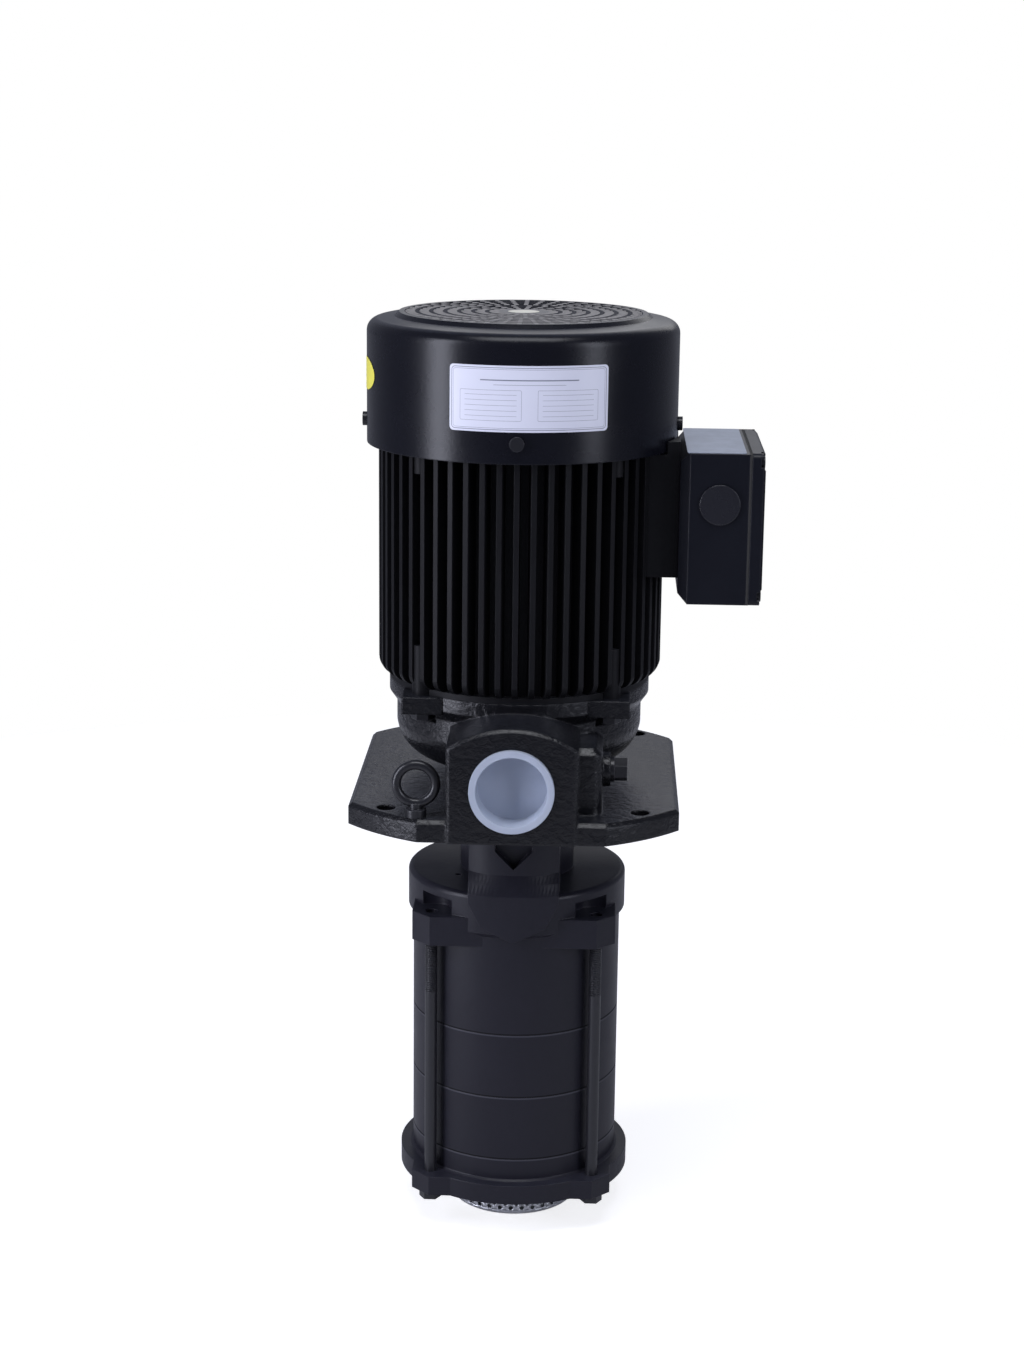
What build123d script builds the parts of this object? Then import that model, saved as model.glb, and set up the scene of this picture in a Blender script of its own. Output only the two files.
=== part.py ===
from build123d import *
import os
from math import cos, pi, radians, sin, sqrt

# Vertical multistage coolant pump, millimetres.
# +Z is up along the shaft, z = 0 is the underside of the mounting flange, -Y is the discharge side
# and +X is the side of the terminal box.

# ---- gaps and fits
GAP = 0.1                   # radial gap of a spigot, a bolt hole or a push-in plug
SLIP = 0.02                 # radial gap of a pressed or threaded piece in its own body
RUNNING_FIT = 0.06          # radial gap of the shaft in a plain bush
WEAR_GAP = 0.35             # radial gap of an impeller neck in its wear ring
AIR_GAP = 0.5               # rotor to stator
TURNING_GAP = 1.5           # axial or radial gap beside turning pieces
FACE_FILM = 0.02            # film between the two seal faces

# ---- mounting flange and bracket casting
FLANGE_THICK = 14
FLANGE_RADIUS = 135.5
FLANGE_HALF_X = 105
FLANGE_HALF_Y = 122
FLANGE_EDGE = 2.5
MOUNT_SPACING_X = 160
MOUNT_SPACING_Y = 190
MOUNT_HOLE = 12
RELIEF_RADIUS = 90          # the seat on the tank is machined outside this
RELIEF_DEPTH = 1.5
COLUMN_SEAT_EDGE = 2
BELL_FOOT_RADIUS = 48
BELL_FOOT_TOP = 27
BELL_BULGE_STEP = 7.15      # middle of the bell's underside, inside the bell
BELL_BULGE_RISE = 7.5
BELL_LOW = 50
BELL_HIGH = 64
SHOULDER_STEP = 4.9         # shoulder outside the bell
SHOULDER_LOW = 71
BRACKET_TOP = 80
BELL_WALL = 9
BELL_FLOOR = 50
SPIGOT_HEIGHT = 4
SPIGOT_WALL = 6
LUG_SIZE = 26
LUG_HEIGHT = 11
FRAME_BOLT_OFFSET = 3.5     # bolt circle outside the frame's skin
SPOT_FACE_RADIUS = 9
SPOT_FACE_DEPTH = 8

# ---- discharge port, lifting eye and vent
PORT_HEIGHT = 34.7
PORT_PROUD = 2              # port face ahead of the flange's front edge
PORT_THREAD = 47.8          # major diameter of the 1 1/2 inch pipe thread
PORT_THREAD_LENGTH = 24
PORT_BORE = 40
BLOCK_HALF = 41
BLOCK_SIDE_HEIGHT = 61
BLOCK_CROWN_HEIGHT = 74
PLUG_FLANGE = 53.3
PLUG_FLANGE_THICK = 3
PLUG_LENGTH = 16
PLUG_WALL = 1.5
EYE_X = 60
EYE_INSET = 10              # from the flange's front edge
EYE_ROD = 6
EYE_RING_RADIUS = 12.3
EYE_STEM = 8
EYE_COLLAR = 13
EYE_COLLAR_HEIGHT = 5
EYE_HEIGHT = 35
EYE_SHANK_LENGTH = 11
VENT_Y = 80
VENT_Z = 38
VENT_BOSS_RADIUS = 11
VENT_BOSS_REACH = 61
VENT_SHANK_RADIUS = 5
VENT_SHANK_LENGTH = 12
VENT_COLLAR_RADIUS = 8
VENT_COLLAR_THICK = 2.5
VENT_HEX = 13
VENT_HEX_LENGTH = 8
SIDE_PAD_REACH = 56
SIDE_PAD_FRONT = 104
SIDE_PAD_BACK = 52
SIDE_PAD_TOP = 57
SIDE_PAD_ROUND = 7
SIDE_PAD_EDGE = 4
BLOCK_EDGE = 2

# ---- pump column: neck, riser and top chamber
GASKET_THICK = 1
NECK_RADIUS = 38
RISER_HALF = 29.5
RISER_SIDE_Y = 60
RISER_FRONT_Y = 70.5
RISER_SIDE_END = 57         # depth below the flange where the riser starts to taper
RISER_TIP = 82
RISER_TIP_HALF = 21
RISER_TIP_SIDE = 73
NOTCH_HALF = 12
NOTCH_SIDE = 22
NOTCH_TIP = 34
NOTCH_DEPTH = 8
DRAIN_X = -38
DRAIN_Y = -28
DRAIN_RADIUS = 2
DRAIN_DEPTH = 6
PASSAGE_WIDTH = 42
PASSAGE_NEAR_Y = 44
PASSAGE_FAR_Y = 60
CHAMBER_TOP = 51.7          # depth below the flange
CHAMBER_RIM_STEP = 3.3      # rim outside the shell
CHAMBER_RIM_DEPTH = 78
CHAMBER_EDGE = 3.5
CHAMBER_POCKET_RADIUS = 15  # round each tie bolt's upper end
CHAMBER_POCKET_DEPTH = 59
CHAMBER_ROOF = 10
LEDGE = 5                   # inside the top chamber, above the last diffuser
SHELL_RADIUS = 69.4
SHELL_WALL = 7.8
SQUARE_MARGIN = 12.5        # from a tie bolt to the square's edge
SQUARE_CORNER = 12
SQUARE_TOP = 68.5
SQUARE_BOTTOM = 88.2
COLUMN_SPIGOT_RADIUS = 24
COLUMN_SPIGOT_HEIGHT = 6
COLUMN_BOLT_CIRCLE = 30.5
SEAL_ROOM_RADIUS = 36

# ---- stages
STAGES = 3
STAGE_PITCH = 44
FIRST_FLOOR = -236.5        # top face of the suction cover
WEB_THICK = 6
STAGE_SPIGOT = 2
EYE_HOLE_RADIUS = 27
WEAR_RING_HEIGHT = 5
IMPELLER_CLEARANCE = 8      # impeller rim to the shell's bore
IMPELLER_EYE_RADIUS = 21.5
IMPELLER_NECK_RADIUS = 24
IMPELLER_NECK_LENGTH = 6
IMPELLER_HUB_RADIUS = 13
IMPELLER_HUB_TOP = 16       # above the front shroud's underside
SHROUD_THICK = 2.5
VANE_HEIGHT = 7
VANES = 6
VANE_THICK = 2.6
VANE_ROOT = 20
VANE_INSET = 0.8            # vane tips inside the impeller's rim
VANE_SWEEP = 75             # degrees that a vane falls back from eye to rim
DIFFUSER_CLEARANCE = 5      # diffuser plate to the shell's bore
DIFFUSER_PLATE_THICK = 2.5
DIFFUSER_VANES = 7
DIFFUSER_VANE_THICK = 3
DIFFUSER_VANE_SWEEP = 60
DIFFUSER_VANE_ROOT = 22
DIFFUSER_FIT = 1.5          # vanes and feet to the shell's bore
SLEEVE_WALL = 4
SUCTION_BAND_DEPTH = 14.1
BAND_FLARE = 1.5
SUCTION_PLATE_TOP = 15.5    # below the first floor
SUCTION_PLATE_BOTTOM = 28.5
SUCTION_PLATE_STEP = 8.2    # round plate outside the shell
SUCTION_MOUTH_RADIUS = 38
STRAINER_RADIUS = 42.8
STRAINER_HEIGHT = 25
STRAINER_SHEET = 1
STRAINER_FLANGE_RADIUS = 50
STRAINER_COLUMNS = 30
STRAINER_ROWS = 3
STRAINER_PITCH = 7.6
STRAINER_FIRST_ROW = 4.2    # above the strainer's bottom
STRAINER_HOLE = 4.2
STRAINER_SCREW_RADIUS = 46.7
TIE_BOLT_CLEARANCE = 2.97   # tie bolt to the shell
TIE_BOLT = 8
TIE_BOLT_SHY = 2            # its end below the square's top face
TIE_HEX = 13
TIE_HEX_HEIGHT = 6

# ---- shaft, from the fan down
SHAFT_END = 5               # above the fan's hub
FAN_SEAT_RADIUS = 9.5
FAN_SEAT_RISE = 10          # above the frame's top
UPPER_SEAT_RADIUS = 10
UPPER_SHOULDER_RADIUS = 13
UPPER_SHOULDER_LENGTH = 14.5
ROTOR_SEAT_RADIUS = 17
ROTOR_SEAT_BOTTOM = 104
LOWER_SHOULDER_RADIUS = 15
LOWER_SEAT_RADIUS = 12.5
LOWER_SEAT_LEAD = 3
SEAL_SEAT_RADIUS = 11
PUMP_SEAT_RADIUS = 8
SHAFT_THREAD_RADIUS = 7
SHAFT_END_CHAMFER = 1
THREAD_RELIEF = 0.5
KEY_SIZE = 5
KEY_DEPTH = 3

# ---- bearings, seal and slinger
UPPER_BEARING_RADIUS = 23.5
UPPER_BEARING_WIDTH = 14
UPPER_BEARING_SINK = 9.5    # its lower face below the frame's top
LOWER_BEARING_RADIUS = 26
LOWER_BEARING_WIDTH = 15
LOWER_BEARING_BOTTOM = 62
BEARING_RACE = 4
BEARING_SHIELD = 1
BEARING_SHIELD_GAP = 0.4
HOUSING_WALL = 8
HOUSING_LIP = 4
HOUSING_LIP_WIDTH = 6
SPRING_THICK = 1.5
SPRING_GAP = 0.5
SEAT_RING_RADIUS = 19
SEAT_RING_BOTTOM = 2
SEAT_RING_HEIGHT = 7
SEAL_HEAD_RADIUS = 17.5
SEAL_HEAD_HEIGHT = 22
SEAL_NOSE_RADIUS = 14.5
SEAL_NOSE_HEIGHT = 4
SLINGER_RADIUS = 24
SLINGER_BOTTOM = 44
SLINGER_THICK = 5
SLINGER_HUB = 5
SLINGER_LIP = 2
BUSH_RADIUS = 15
BUSH_BOTTOM = -50
BUSH_TOP = -20

# ---- motor
FRAME_SKIN_RADIUS = 80.5
FRAME_WALL = 4.5
FRAME_TOP = 240
FRAME_FOOT_TOP = 84
FIN_HEIGHT = 11.9
FINS = 54
FIN_TIP_THICK = 3.4
FIN_ROOT_THICK = 4.4
FIN_SINK = 1.5              # fin root inside the skin
FIN_END_ROUND = 7           # how far the rounded lower ends of the fins draw in
FIN_END_HEIGHT = 11
BOSS_RADIUS = 7
LOW_BOSS_TOP = 112
HIGH_BOSS_BOTTOM = 222
STACK_BOTTOM = 115
STACK_TOP = 205
STATOR_BORE = 45            # radius
WINDING_INNER = 50
WINDING_CLEARANCE = 6       # winding to the frame's bore
WINDING_HEIGHT = 19
END_RING_INNER = 28
END_RING_HEIGHT = 10
SHIELD_THICK = 7
COVER_LUG_WIDTH = 16
COVER_LUG_HEIGHT = 14

# ---- fan and fan cover
COVER_GAP = 6.1             # fin tips to the cover's inside
COVER_SHEET = 1.5
COVER_LAP = 5.8             # cover's edge below the frame's top
COVER_HEIGHT = 82.8
COVER_EDGE = 8
DISC_RADIUS = 81
DISC_STEP = 2.5
DISC_SLOPE = 1.5            # the step leans this much to each side of the disc's radius
COVER_RIM_DROP = 1.5
RING_COUNT = 7
WEB_COUNT = 46              # in the outer rings; half as many in the inner ones
GRILLE_PITCH = 8.9
GRILLE_FIRST_RADIUS = 16
GRILLE_HALVING_RADIUS = 42
GRILLE_SLOT_WIDTH = 6
GRILLE_WEB_WIDTH = 2.8
COVER_SCREW_RISE = 7        # above the frame's top
COVER_SCREW = 5
COVER_SCREW_LENGTH = 15
FAN_CLEARANCE = 19.5        # blade tips to the cover's inside
FAN_DISC_RADIUS = 58
FAN_DISC_THICK = 3
FAN_RISE = 17               # above the frame's top
FAN_HEIGHT = 28
FAN_HUB_RADIUS = 16
FAN_BLADES = 8
FAN_TIP_DROP = 7
FAN_TIP_CUT = 10
FAN_BLADE_THICK = 2.5
CLIP_THICK = 1.2
CLIP_RADIUS = 12
CLIP_GROOVE = 0.8
CLIP_LIFT = 0.5
CLIP_MOUTH = 6

# ---- terminal box
BOX_GAP = 1                 # fan cover to the box
BOX_DEPTH = 43
BOX_HALF_Y = 55
BOX_TOP_DROP = 4            # below the frame's top
BOX_HEIGHT = 96
BOX_WALL = 3
BOX_CHAMFER = 6
BOX_POST_RADIUS = 5.8       # deeper than the wall, so that a post grows into it
PAD_HALF_Y = 40
PAD_BOTTOM = 154
PAD_HORN_TOP = 241          # the pad's corners reach up beside the fan cover
PAD_HORN_Y = 17
WIRE_HOLE_RADIUS = 15
BOX_SCREW_Y = 30
BOX_SCREW_BELOW = 14        # from the pad's edges
SEAL_SHEET = 1.5
LID_THICK = 8.5
LID_OVERHANG = 0.5
LID_CORNER = 4
LID_EDGE = 1.5
LID_RIM = 14
LID_SCREW_INSET = 5.5
LID_RECESS = 3
LID_RECESS_RADIUS = 6.5
ENTRY_OFFSET = 25           # from the box's inner face
ENTRY_DROP = 32             # below the box's top
ENTRY_HOLE_RADIUS = 10.5
ENTRY_HEAD_RADIUS = 12.8
ENTRY_HEAD_THICK = 1.6
ENTRY_LENGTH = 8
TERMINAL_BLOCK_THICK = 12
TERMINAL_BLOCK_WIDTH = 46
TERMINAL_BLOCK_TALL = 30
TERMINAL_BLOCK_RISE = 37    # its middle above the box's bottom
STUD_PITCH_Y = 16
STUD_PITCH_Z = 14
STUD_RADIUS = 2.5
STUD_LENGTH = 14
STUD_NUT = 8
STUD_NUT_THICK = 4

# ---- small screws: shank radius, head radius and head height
COLUMN_SCREW = 3
COLUMN_SCREW_HEAD = 5
COLUMN_SCREW_HEAD_HEIGHT = 6
COLUMN_SCREW_LENGTH = 16    # below the flange's underside
COLUMN_SCREW_SOCKET = 5
COLUMN_SCREW_SPARE = 2
SMALL_SCREW = 2.5
SMALL_SCREW_HEAD = 4.5
SMALL_SCREW_HEAD_HEIGHT = 3
SMALL_SCREW_LENGTH = 9
SMALL_SCREW_SPARE = 1
LID_SCREW = 2
LID_SCREW_HEAD = 3.8
LID_SCREW_HEAD_HEIGHT = 2.6
LID_SCREW_LENGTH = 12
LID_SCREW_SPARE = 2
STRAINER_SCREW = 2
STRAINER_SCREW_HEAD = 3.2
STRAINER_SCREW_HEAD_HEIGHT = 2.2
STRAINER_SCREW_LENGTH = 7
FRAME_BOLT_HEAD = 5.5
FRAME_BOLT_LENGTH = 35
FRAME_BOLT_SPARE = 2

# ---- derived places
PORT_FACE_Y = FLANGE_HALF_Y + PORT_PROUD
EYE_Y = FLANGE_HALF_Y - EYE_INSET
BELL_RADIUS = FRAME_SKIN_RADIUS
SHOULDER_RADIUS = BELL_RADIUS + SHOULDER_STEP
FRAME_BORE = FRAME_SKIN_RADIUS - FRAME_WALL
FRAME_BOLT_CIRCLE = FRAME_SKIN_RADIUS + FRAME_BOLT_OFFSET
FRAME_BOLT_PLACE = FRAME_BOLT_CIRCLE / sqrt(2)
FIN_RADIUS = FRAME_SKIN_RADIUS + FIN_HEIGHT
WINDING_OUTER = FRAME_BORE - WINDING_CLEARANCE
COVER_RADIUS = FIN_RADIUS + COVER_GAP + COVER_SHEET
COVER_BOTTOM = FRAME_TOP - COVER_LAP
COVER_TOP = COVER_BOTTOM + COVER_HEIGHT
COVER_SCREW_Z = FRAME_TOP + COVER_SCREW_RISE
FAN_RADIUS = COVER_RADIUS - COVER_SHEET - FAN_CLEARANCE
FAN_BOTTOM = FRAME_TOP + FAN_RISE
FAN_TOP = FAN_BOTTOM + FAN_HEIGHT
FAN_SEAT_BOTTOM = FRAME_TOP + FAN_SEAT_RISE
SHAFT_TOP = FAN_TOP + SHAFT_END
UPPER_BEARING_BOTTOM = FRAME_TOP - UPPER_BEARING_SINK
UPPER_SHOULDER_BOTTOM = UPPER_BEARING_BOTTOM - UPPER_SHOULDER_LENGTH
BOX_INNER_X = COVER_RADIUS + BOX_GAP
BOX_OUTER_X = BOX_INNER_X + BOX_DEPTH
BOX_TOP = FRAME_TOP - BOX_TOP_DROP
BOX_BOTTOM = BOX_TOP - BOX_HEIGHT
PAD_TOP = COVER_BOTTOM - TURNING_GAP
WIRE_HOLE_Z = STACK_TOP + WINDING_HEIGHT / 3
ENTRY_X = BOX_INNER_X + ENTRY_OFFSET
ENTRY_Z = BOX_TOP - ENTRY_DROP
TERMINAL_BLOCK_Z = BOX_BOTTOM + TERMINAL_BLOCK_RISE
SHELL_BORE = SHELL_RADIUS - SHELL_WALL
CHAMBER_RIM_RADIUS = SHELL_RADIUS + CHAMBER_RIM_STEP
IMPELLER_RADIUS = SHELL_BORE - IMPELLER_CLEARANCE
DIFFUSER_PLATE_RADIUS = SHELL_BORE - DIFFUSER_CLEARANCE
SUCTION_PLATE_RADIUS = SHELL_RADIUS + SUCTION_PLATE_STEP
TIE_HALF = (SHELL_RADIUS + TIE_BOLT_CLEARANCE + TIE_BOLT / 2) / sqrt(2)
SQUARE_HALF = TIE_HALF + SQUARE_MARGIN
COLUMN_BOLT_PLACE = COLUMN_BOLT_CIRCLE / sqrt(2)
FLOORS = [FIRST_FLOOR + STAGE_PITCH * stage for stage in range(STAGES)]
SUCTION_BOTTOM = FIRST_FLOOR - SUCTION_PLATE_BOTTOM
IMPELLER_BASES = [floor + STAGE_SPIGOT + TURNING_GAP for floor in FLOORS]
TOP_HUB_END = IMPELLER_BASES[-1] + IMPELLER_HUB_TOP
LOW_HUB_END = IMPELLER_BASES[0]
WASHER_THICK = 3
WASHER_RADIUS = 12
NUT_HEIGHT = 11
NUT_HEX = 22
SHAFT_BOTTOM = LOW_HUB_END - WASHER_THICK - NUT_HEIGHT - SHAFT_END_CHAMFER
DIFFUSER_PLATE_BOTTOM = 2 * SHROUD_THICK + VANE_HEIGHT + TURNING_GAP    # above an impeller's base
SEAL_FACE = SEAT_RING_BOTTOM + SEAT_RING_HEIGHT


# ---- small helpers that every piece below uses
def turned(*profile):
    """A solid of revolution about Z from (radius, z) points; a three-item entry is an arc's middle."""
    edges = []
    points = list(profile) + [profile[0]]
    index = 0
    while index < len(points) - 1:
        start = points[index]
        if len(points[index + 1]) == 3:
            middle, end = points[index + 1], points[index + 2]
            edges.append(ThreePointArc(
                (start[0], 0, start[1]), (middle[0], 0, middle[1]), (end[0], 0, end[1])))
            index += 2
        else:
            end = points[index + 1]
            edges.append(Line((start[0], 0, start[1]), (end[0], 0, end[1])))
            index += 1
    return revolve(make_face(Wire(edges)), axis=Axis.Z)


def rod(radius, bottom, top, x=0, y=0):
    """An upright cylinder between two heights."""
    return Pos(x, y, bottom) * Cylinder(radius, top - bottom, align=(Align.CENTER, Align.CENTER, Align.MIN))


def ring(outer, inner, bottom, top):
    """A plain upright ring."""
    return rod(outer, bottom, top) - rod(inner, bottom, top)


def block(x_range, y_range, z_range):
    """A box between two corners."""
    low = [min(pair) for pair in (x_range, y_range, z_range)]
    high = [max(pair) for pair in (x_range, y_range, z_range)]
    size = [b - a for a, b in zip(low, high)]
    return Pos(*low) * Box(*size, align=(Align.MIN, Align.MIN, Align.MIN))


def slab(sketch, bottom, top):
    """A flat outline raised between two heights."""
    return Pos(0, 0, bottom) * extrude(sketch, top - bottom)


def along_x(radius, start, end, y, z):
    """A cylinder along X."""
    low, high = min(start, end), max(start, end)
    return Pos(low, y, z) * Rot(0, 90, 0) * Cylinder(
        radius, high - low, align=(Align.CENTER, Align.CENTER, Align.MIN))


def along_y(radius, start, end, x, z):
    """A cylinder along Y."""
    low, high = min(start, end), max(start, end)
    return Pos(x, low, z) * Rot(-90, 0, 0) * Cylinder(
        radius, high - low, align=(Align.CENTER, Align.CENTER, Align.MIN))


def hexagon(across_flats):
    return RegularPolygon(across_flats / 2, 6, major_radius=False)


def turns(piece, count, start=0):
    """Copies of a piece spread evenly round the shaft."""
    return [Rot(0, 0, start + 360 * i / count) * piece for i in range(count)]


def corners(piece):
    """The piece at +X +Y, mirrored to all four corners."""
    half = [piece, mirror(piece, Plane.YZ)]
    return half + [mirror(each, Plane.XZ) for each in half]


def joined(pieces):
    whole = pieces[0]
    for piece in pieces[1:]:
        whole = whole + piece
    return whole


def square_outline():
    """The square flange with cut corners that carries the tie bolts."""
    return chamfer(Rectangle(2 * SQUARE_HALF, 2 * SQUARE_HALF).vertices(), SQUARE_CORNER)


def riser_outline():
    """Plan of the riser: straight sides from the neck and a bowed front."""
    side = [Line((-RISER_HALF, -RISER_SIDE_Y), (-RISER_HALF, 0)), Line((-RISER_HALF, 0), (RISER_HALF, 0)),
            Line((RISER_HALF, 0), (RISER_HALF, -RISER_SIDE_Y))]
    front = ThreePointArc((RISER_HALF, -RISER_SIDE_Y), (0, -RISER_FRONT_Y), (-RISER_HALF, -RISER_SIDE_Y))
    return make_face(Wire([*side, front]))


def passage_outline():
    depth = PASSAGE_FAR_Y - PASSAGE_NEAR_Y
    middle = -(PASSAGE_FAR_Y + PASSAGE_NEAR_Y) / 2
    return Pos(0, middle) * SlotOverall(PASSAGE_WIDTH, depth)


def curved_vane(inner, outer, sweep, thick, height):
    """A backward-curved vane between two radii, standing on z = 0."""
    def at(share, side):
        radius = inner + (outer - inner) * share
        angle = radians(-sweep * share)
        lean = side * thick / 2
        return (radius * cos(angle) - lean * sin(angle), radius * sin(angle) + lean * cos(angle))
    front = ThreePointArc(at(0, 1), at(0.5, 1), at(1, 1))
    back = ThreePointArc(at(1, -1), at(0.5, -1), at(0, -1))
    ends = [Line(at(1, 1), at(1, -1)), Line(at(0, -1), at(0, 1))]
    return extrude(make_face(Wire([front, ends[0], back, ends[1]])), height)


# ---- the bracket casting and what is screwed to it
def mounting_bracket():
    """Mounting flange, bell for the motor, discharge block and bearing housing in one casting."""
    outline = Circle(FLANGE_RADIUS) & Rectangle(2 * FLANGE_HALF_X, 2 * FLANGE_HALF_Y)
    flange = slab(outline, 0, FLANGE_THICK)
    flange = chamfer(flange.edges().group_by(Axis.Z)[-1], FLANGE_EDGE)
    arc_middle = (BELL_RADIUS - BELL_BULGE_STEP, BELL_FOOT_TOP + BELL_BULGE_RISE, "arc")
    bell = turned((0, 0), (BELL_FOOT_RADIUS, 0), (BELL_FOOT_RADIUS, BELL_FOOT_TOP), arc_middle,
                  (BELL_RADIUS, BELL_LOW), (BELL_RADIUS, BELL_HIGH), (SHOULDER_RADIUS, SHOULDER_LOW),
                  (SHOULDER_RADIUS, BRACKET_TOP), (FRAME_BORE - GAP, BRACKET_TOP),
                  (FRAME_BORE - GAP, BRACKET_TOP + SPIGOT_HEIGHT), (0, BRACKET_TOP + SPIGOT_HEIGHT))
    crown = ThreePointArc((BLOCK_HALF, BLOCK_SIDE_HEIGHT), (0, BLOCK_CROWN_HEIGHT),
                          (-BLOCK_HALF, BLOCK_SIDE_HEIGHT))
    sides = Polyline((-BLOCK_HALF, BLOCK_SIDE_HEIGHT), (-BLOCK_HALF, 0), (BLOCK_HALF, 0),
                     (BLOCK_HALF, BLOCK_SIDE_HEIGHT))
    face = Plane.XZ.offset(PORT_FACE_Y) * make_face(Wire([*sides.edges(), crown]))
    port_block = extrude(face, -(PORT_FACE_Y - BELL_FOOT_RADIUS / 2))
    port_block = chamfer(port_block.faces().sort_by(Axis.Y)[0].edges().sort_by(Axis.Z)[1:], BLOCK_EDGE)
    pad = block((0, SIDE_PAD_REACH), (-SIDE_PAD_FRONT, -SIDE_PAD_BACK), (0, SIDE_PAD_TOP))
    pad = fillet(pad.edges().filter_by(Axis.Z).group_by(Axis.X)[-1], SIDE_PAD_ROUND)
    pad = chamfer(pad.edges().group_by(Axis.Z)[-1], SIDE_PAD_EDGE)
    vent_boss = along_x(VENT_BOSS_RADIUS, 0, VENT_BOSS_REACH, -VENT_Y, VENT_Z)
    reach = FRAME_BOLT_PLACE
    lug = block((reach - LUG_SIZE / 2, reach + LUG_SIZE / 2), (reach - LUG_SIZE / 2, reach + LUG_SIZE / 2),
                (BRACKET_TOP - LUG_HEIGHT, BRACKET_TOP))
    body = joined([bell, flange, port_block, pad, vent_boss, *corners(lug)])
    wall = FRAME_BORE - GAP - SPIGOT_WALL
    housing = LOWER_BEARING_RADIUS + HOUSING_WALL
    top = BRACKET_TOP + SPIGOT_HEIGHT
    housing_top = LOWER_BEARING_BOTTOM + LOWER_BEARING_WIDTH
    hollow = turned((wall, top), (wall, BELL_FLOOR + BELL_WALL), (wall - BELL_WALL, BELL_FLOOR),
                    (housing + BELL_WALL, BELL_FLOOR), (housing, BELL_FLOOR + BELL_WALL),
                    (housing, housing_top), (LOWER_BEARING_RADIUS + SLIP, housing_top),
                    (LOWER_BEARING_RADIUS + SLIP, LOWER_BEARING_BOTTOM),
                    (LOWER_BEARING_RADIUS - HOUSING_LIP_WIDTH, LOWER_BEARING_BOTTOM),
                    (LOWER_BEARING_RADIUS - HOUSING_LIP_WIDTH, LOWER_BEARING_BOTTOM - HOUSING_LIP),
                    (SEAL_ROOM_RADIUS, LOWER_BEARING_BOTTOM - HOUSING_LIP), (SEAL_ROOM_RADIUS, FLANGE_THICK),
                    (COLUMN_SPIGOT_RADIUS, FLANGE_THICK), (COLUMN_SPIGOT_RADIUS, 0), (0, 0), (0, top))
    thread_end = -PORT_FACE_Y + PORT_THREAD_LENGTH
    column_seat = slab(offset(column_plan(), COLUMN_SEAT_EDGE), 0, RELIEF_DEPTH)
    relief = rod(RELIEF_RADIUS, 0, RELIEF_DEPTH) - column_seat
    cuts = [
        relief,
        along_y(PORT_THREAD / 2, -PORT_FACE_Y, thread_end, 0, PORT_HEIGHT),
        along_y(PORT_BORE / 2, thread_end, -PASSAGE_NEAR_Y, 0, PORT_HEIGHT),
        slab(passage_outline(), 0, PORT_HEIGHT),
        along_x(VENT_SHANK_RADIUS + SLIP, PORT_BORE / 4, VENT_BOSS_REACH, -VENT_Y, VENT_Z),
        rod(TIE_BOLT / 2, FLANGE_THICK - EYE_SHANK_LENGTH, FLANGE_THICK, -EYE_X, -EYE_Y),
        *corners(rod(MOUNT_HOLE / 2, 0, FLANGE_THICK, MOUNT_SPACING_X / 2, MOUNT_SPACING_Y / 2)),
        *corners(rod(TIE_BOLT / 2 + GAP, BRACKET_TOP - LUG_HEIGHT, BRACKET_TOP, reach, reach)),
        *corners(rod(SPOT_FACE_RADIUS, BRACKET_TOP - LUG_HEIGHT - SPOT_FACE_DEPTH, BRACKET_TOP - LUG_HEIGHT,
                     reach, reach)),
        *column_bolt_places(COLUMN_SCREW + GAP, 0, FLANGE_THICK),
    ]
    return body - hollow - cuts


def column_bolt_places(radius, bottom, top):
    return corners(rod(radius, bottom, top, COLUMN_BOLT_PLACE, COLUMN_BOLT_PLACE))


def discharge_plug():
    """Hollow plastic plug pushed into the discharge thread for transport."""
    radius = PORT_THREAD / 2 - GAP
    front = -PORT_FACE_Y
    flange = along_y(PLUG_FLANGE / 2, front - PLUG_FLANGE_THICK, front, 0, PORT_HEIGHT)
    cup = along_y(radius, front, front + PLUG_LENGTH, 0, PORT_HEIGHT)
    inside = along_y(radius - PLUG_WALL, front - PLUG_FLANGE_THICK, front + PLUG_LENGTH - PLUG_WALL,
                     0, PORT_HEIGHT)
    return flange + cup - inside


def lifting_eye():
    """Eye bolt screwed into the top of the mounting flange."""
    loop = Pos(-EYE_X, -EYE_Y, EYE_HEIGHT) * Rot(90, 0, 0) * Torus(EYE_RING_RADIUS, EYE_ROD / 2)
    collar = rod(EYE_COLLAR / 2, FLANGE_THICK, FLANGE_THICK + EYE_COLLAR_HEIGHT, -EYE_X, -EYE_Y)
    stem = rod(EYE_STEM / 2, FLANGE_THICK, EYE_HEIGHT - EYE_RING_RADIUS, -EYE_X, -EYE_Y)
    shank = rod(TIE_BOLT / 2 - SLIP, FLANGE_THICK - EYE_SHANK_LENGTH, FLANGE_THICK, -EYE_X, -EYE_Y)
    return loop + collar + stem + shank


def vent_plug():
    """Hexagon plug in the vent boss beside the discharge."""
    shank = along_x(VENT_SHANK_RADIUS, VENT_BOSS_REACH - VENT_SHANK_LENGTH, VENT_BOSS_REACH, -VENT_Y, VENT_Z)
    collar_end = VENT_BOSS_REACH + VENT_COLLAR_THICK
    collar = along_x(VENT_COLLAR_RADIUS, VENT_BOSS_REACH, collar_end, -VENT_Y, VENT_Z)
    head = Pos(collar_end, -VENT_Y, VENT_Z) * Rot(0, 90, 0) * extrude(hexagon(VENT_HEX), VENT_HEX_LENGTH)
    return shank + collar + head


# ---- pump column and its joint to the bracket
def column_plan():
    return Circle(NECK_RADIUS) + riser_outline()


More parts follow.
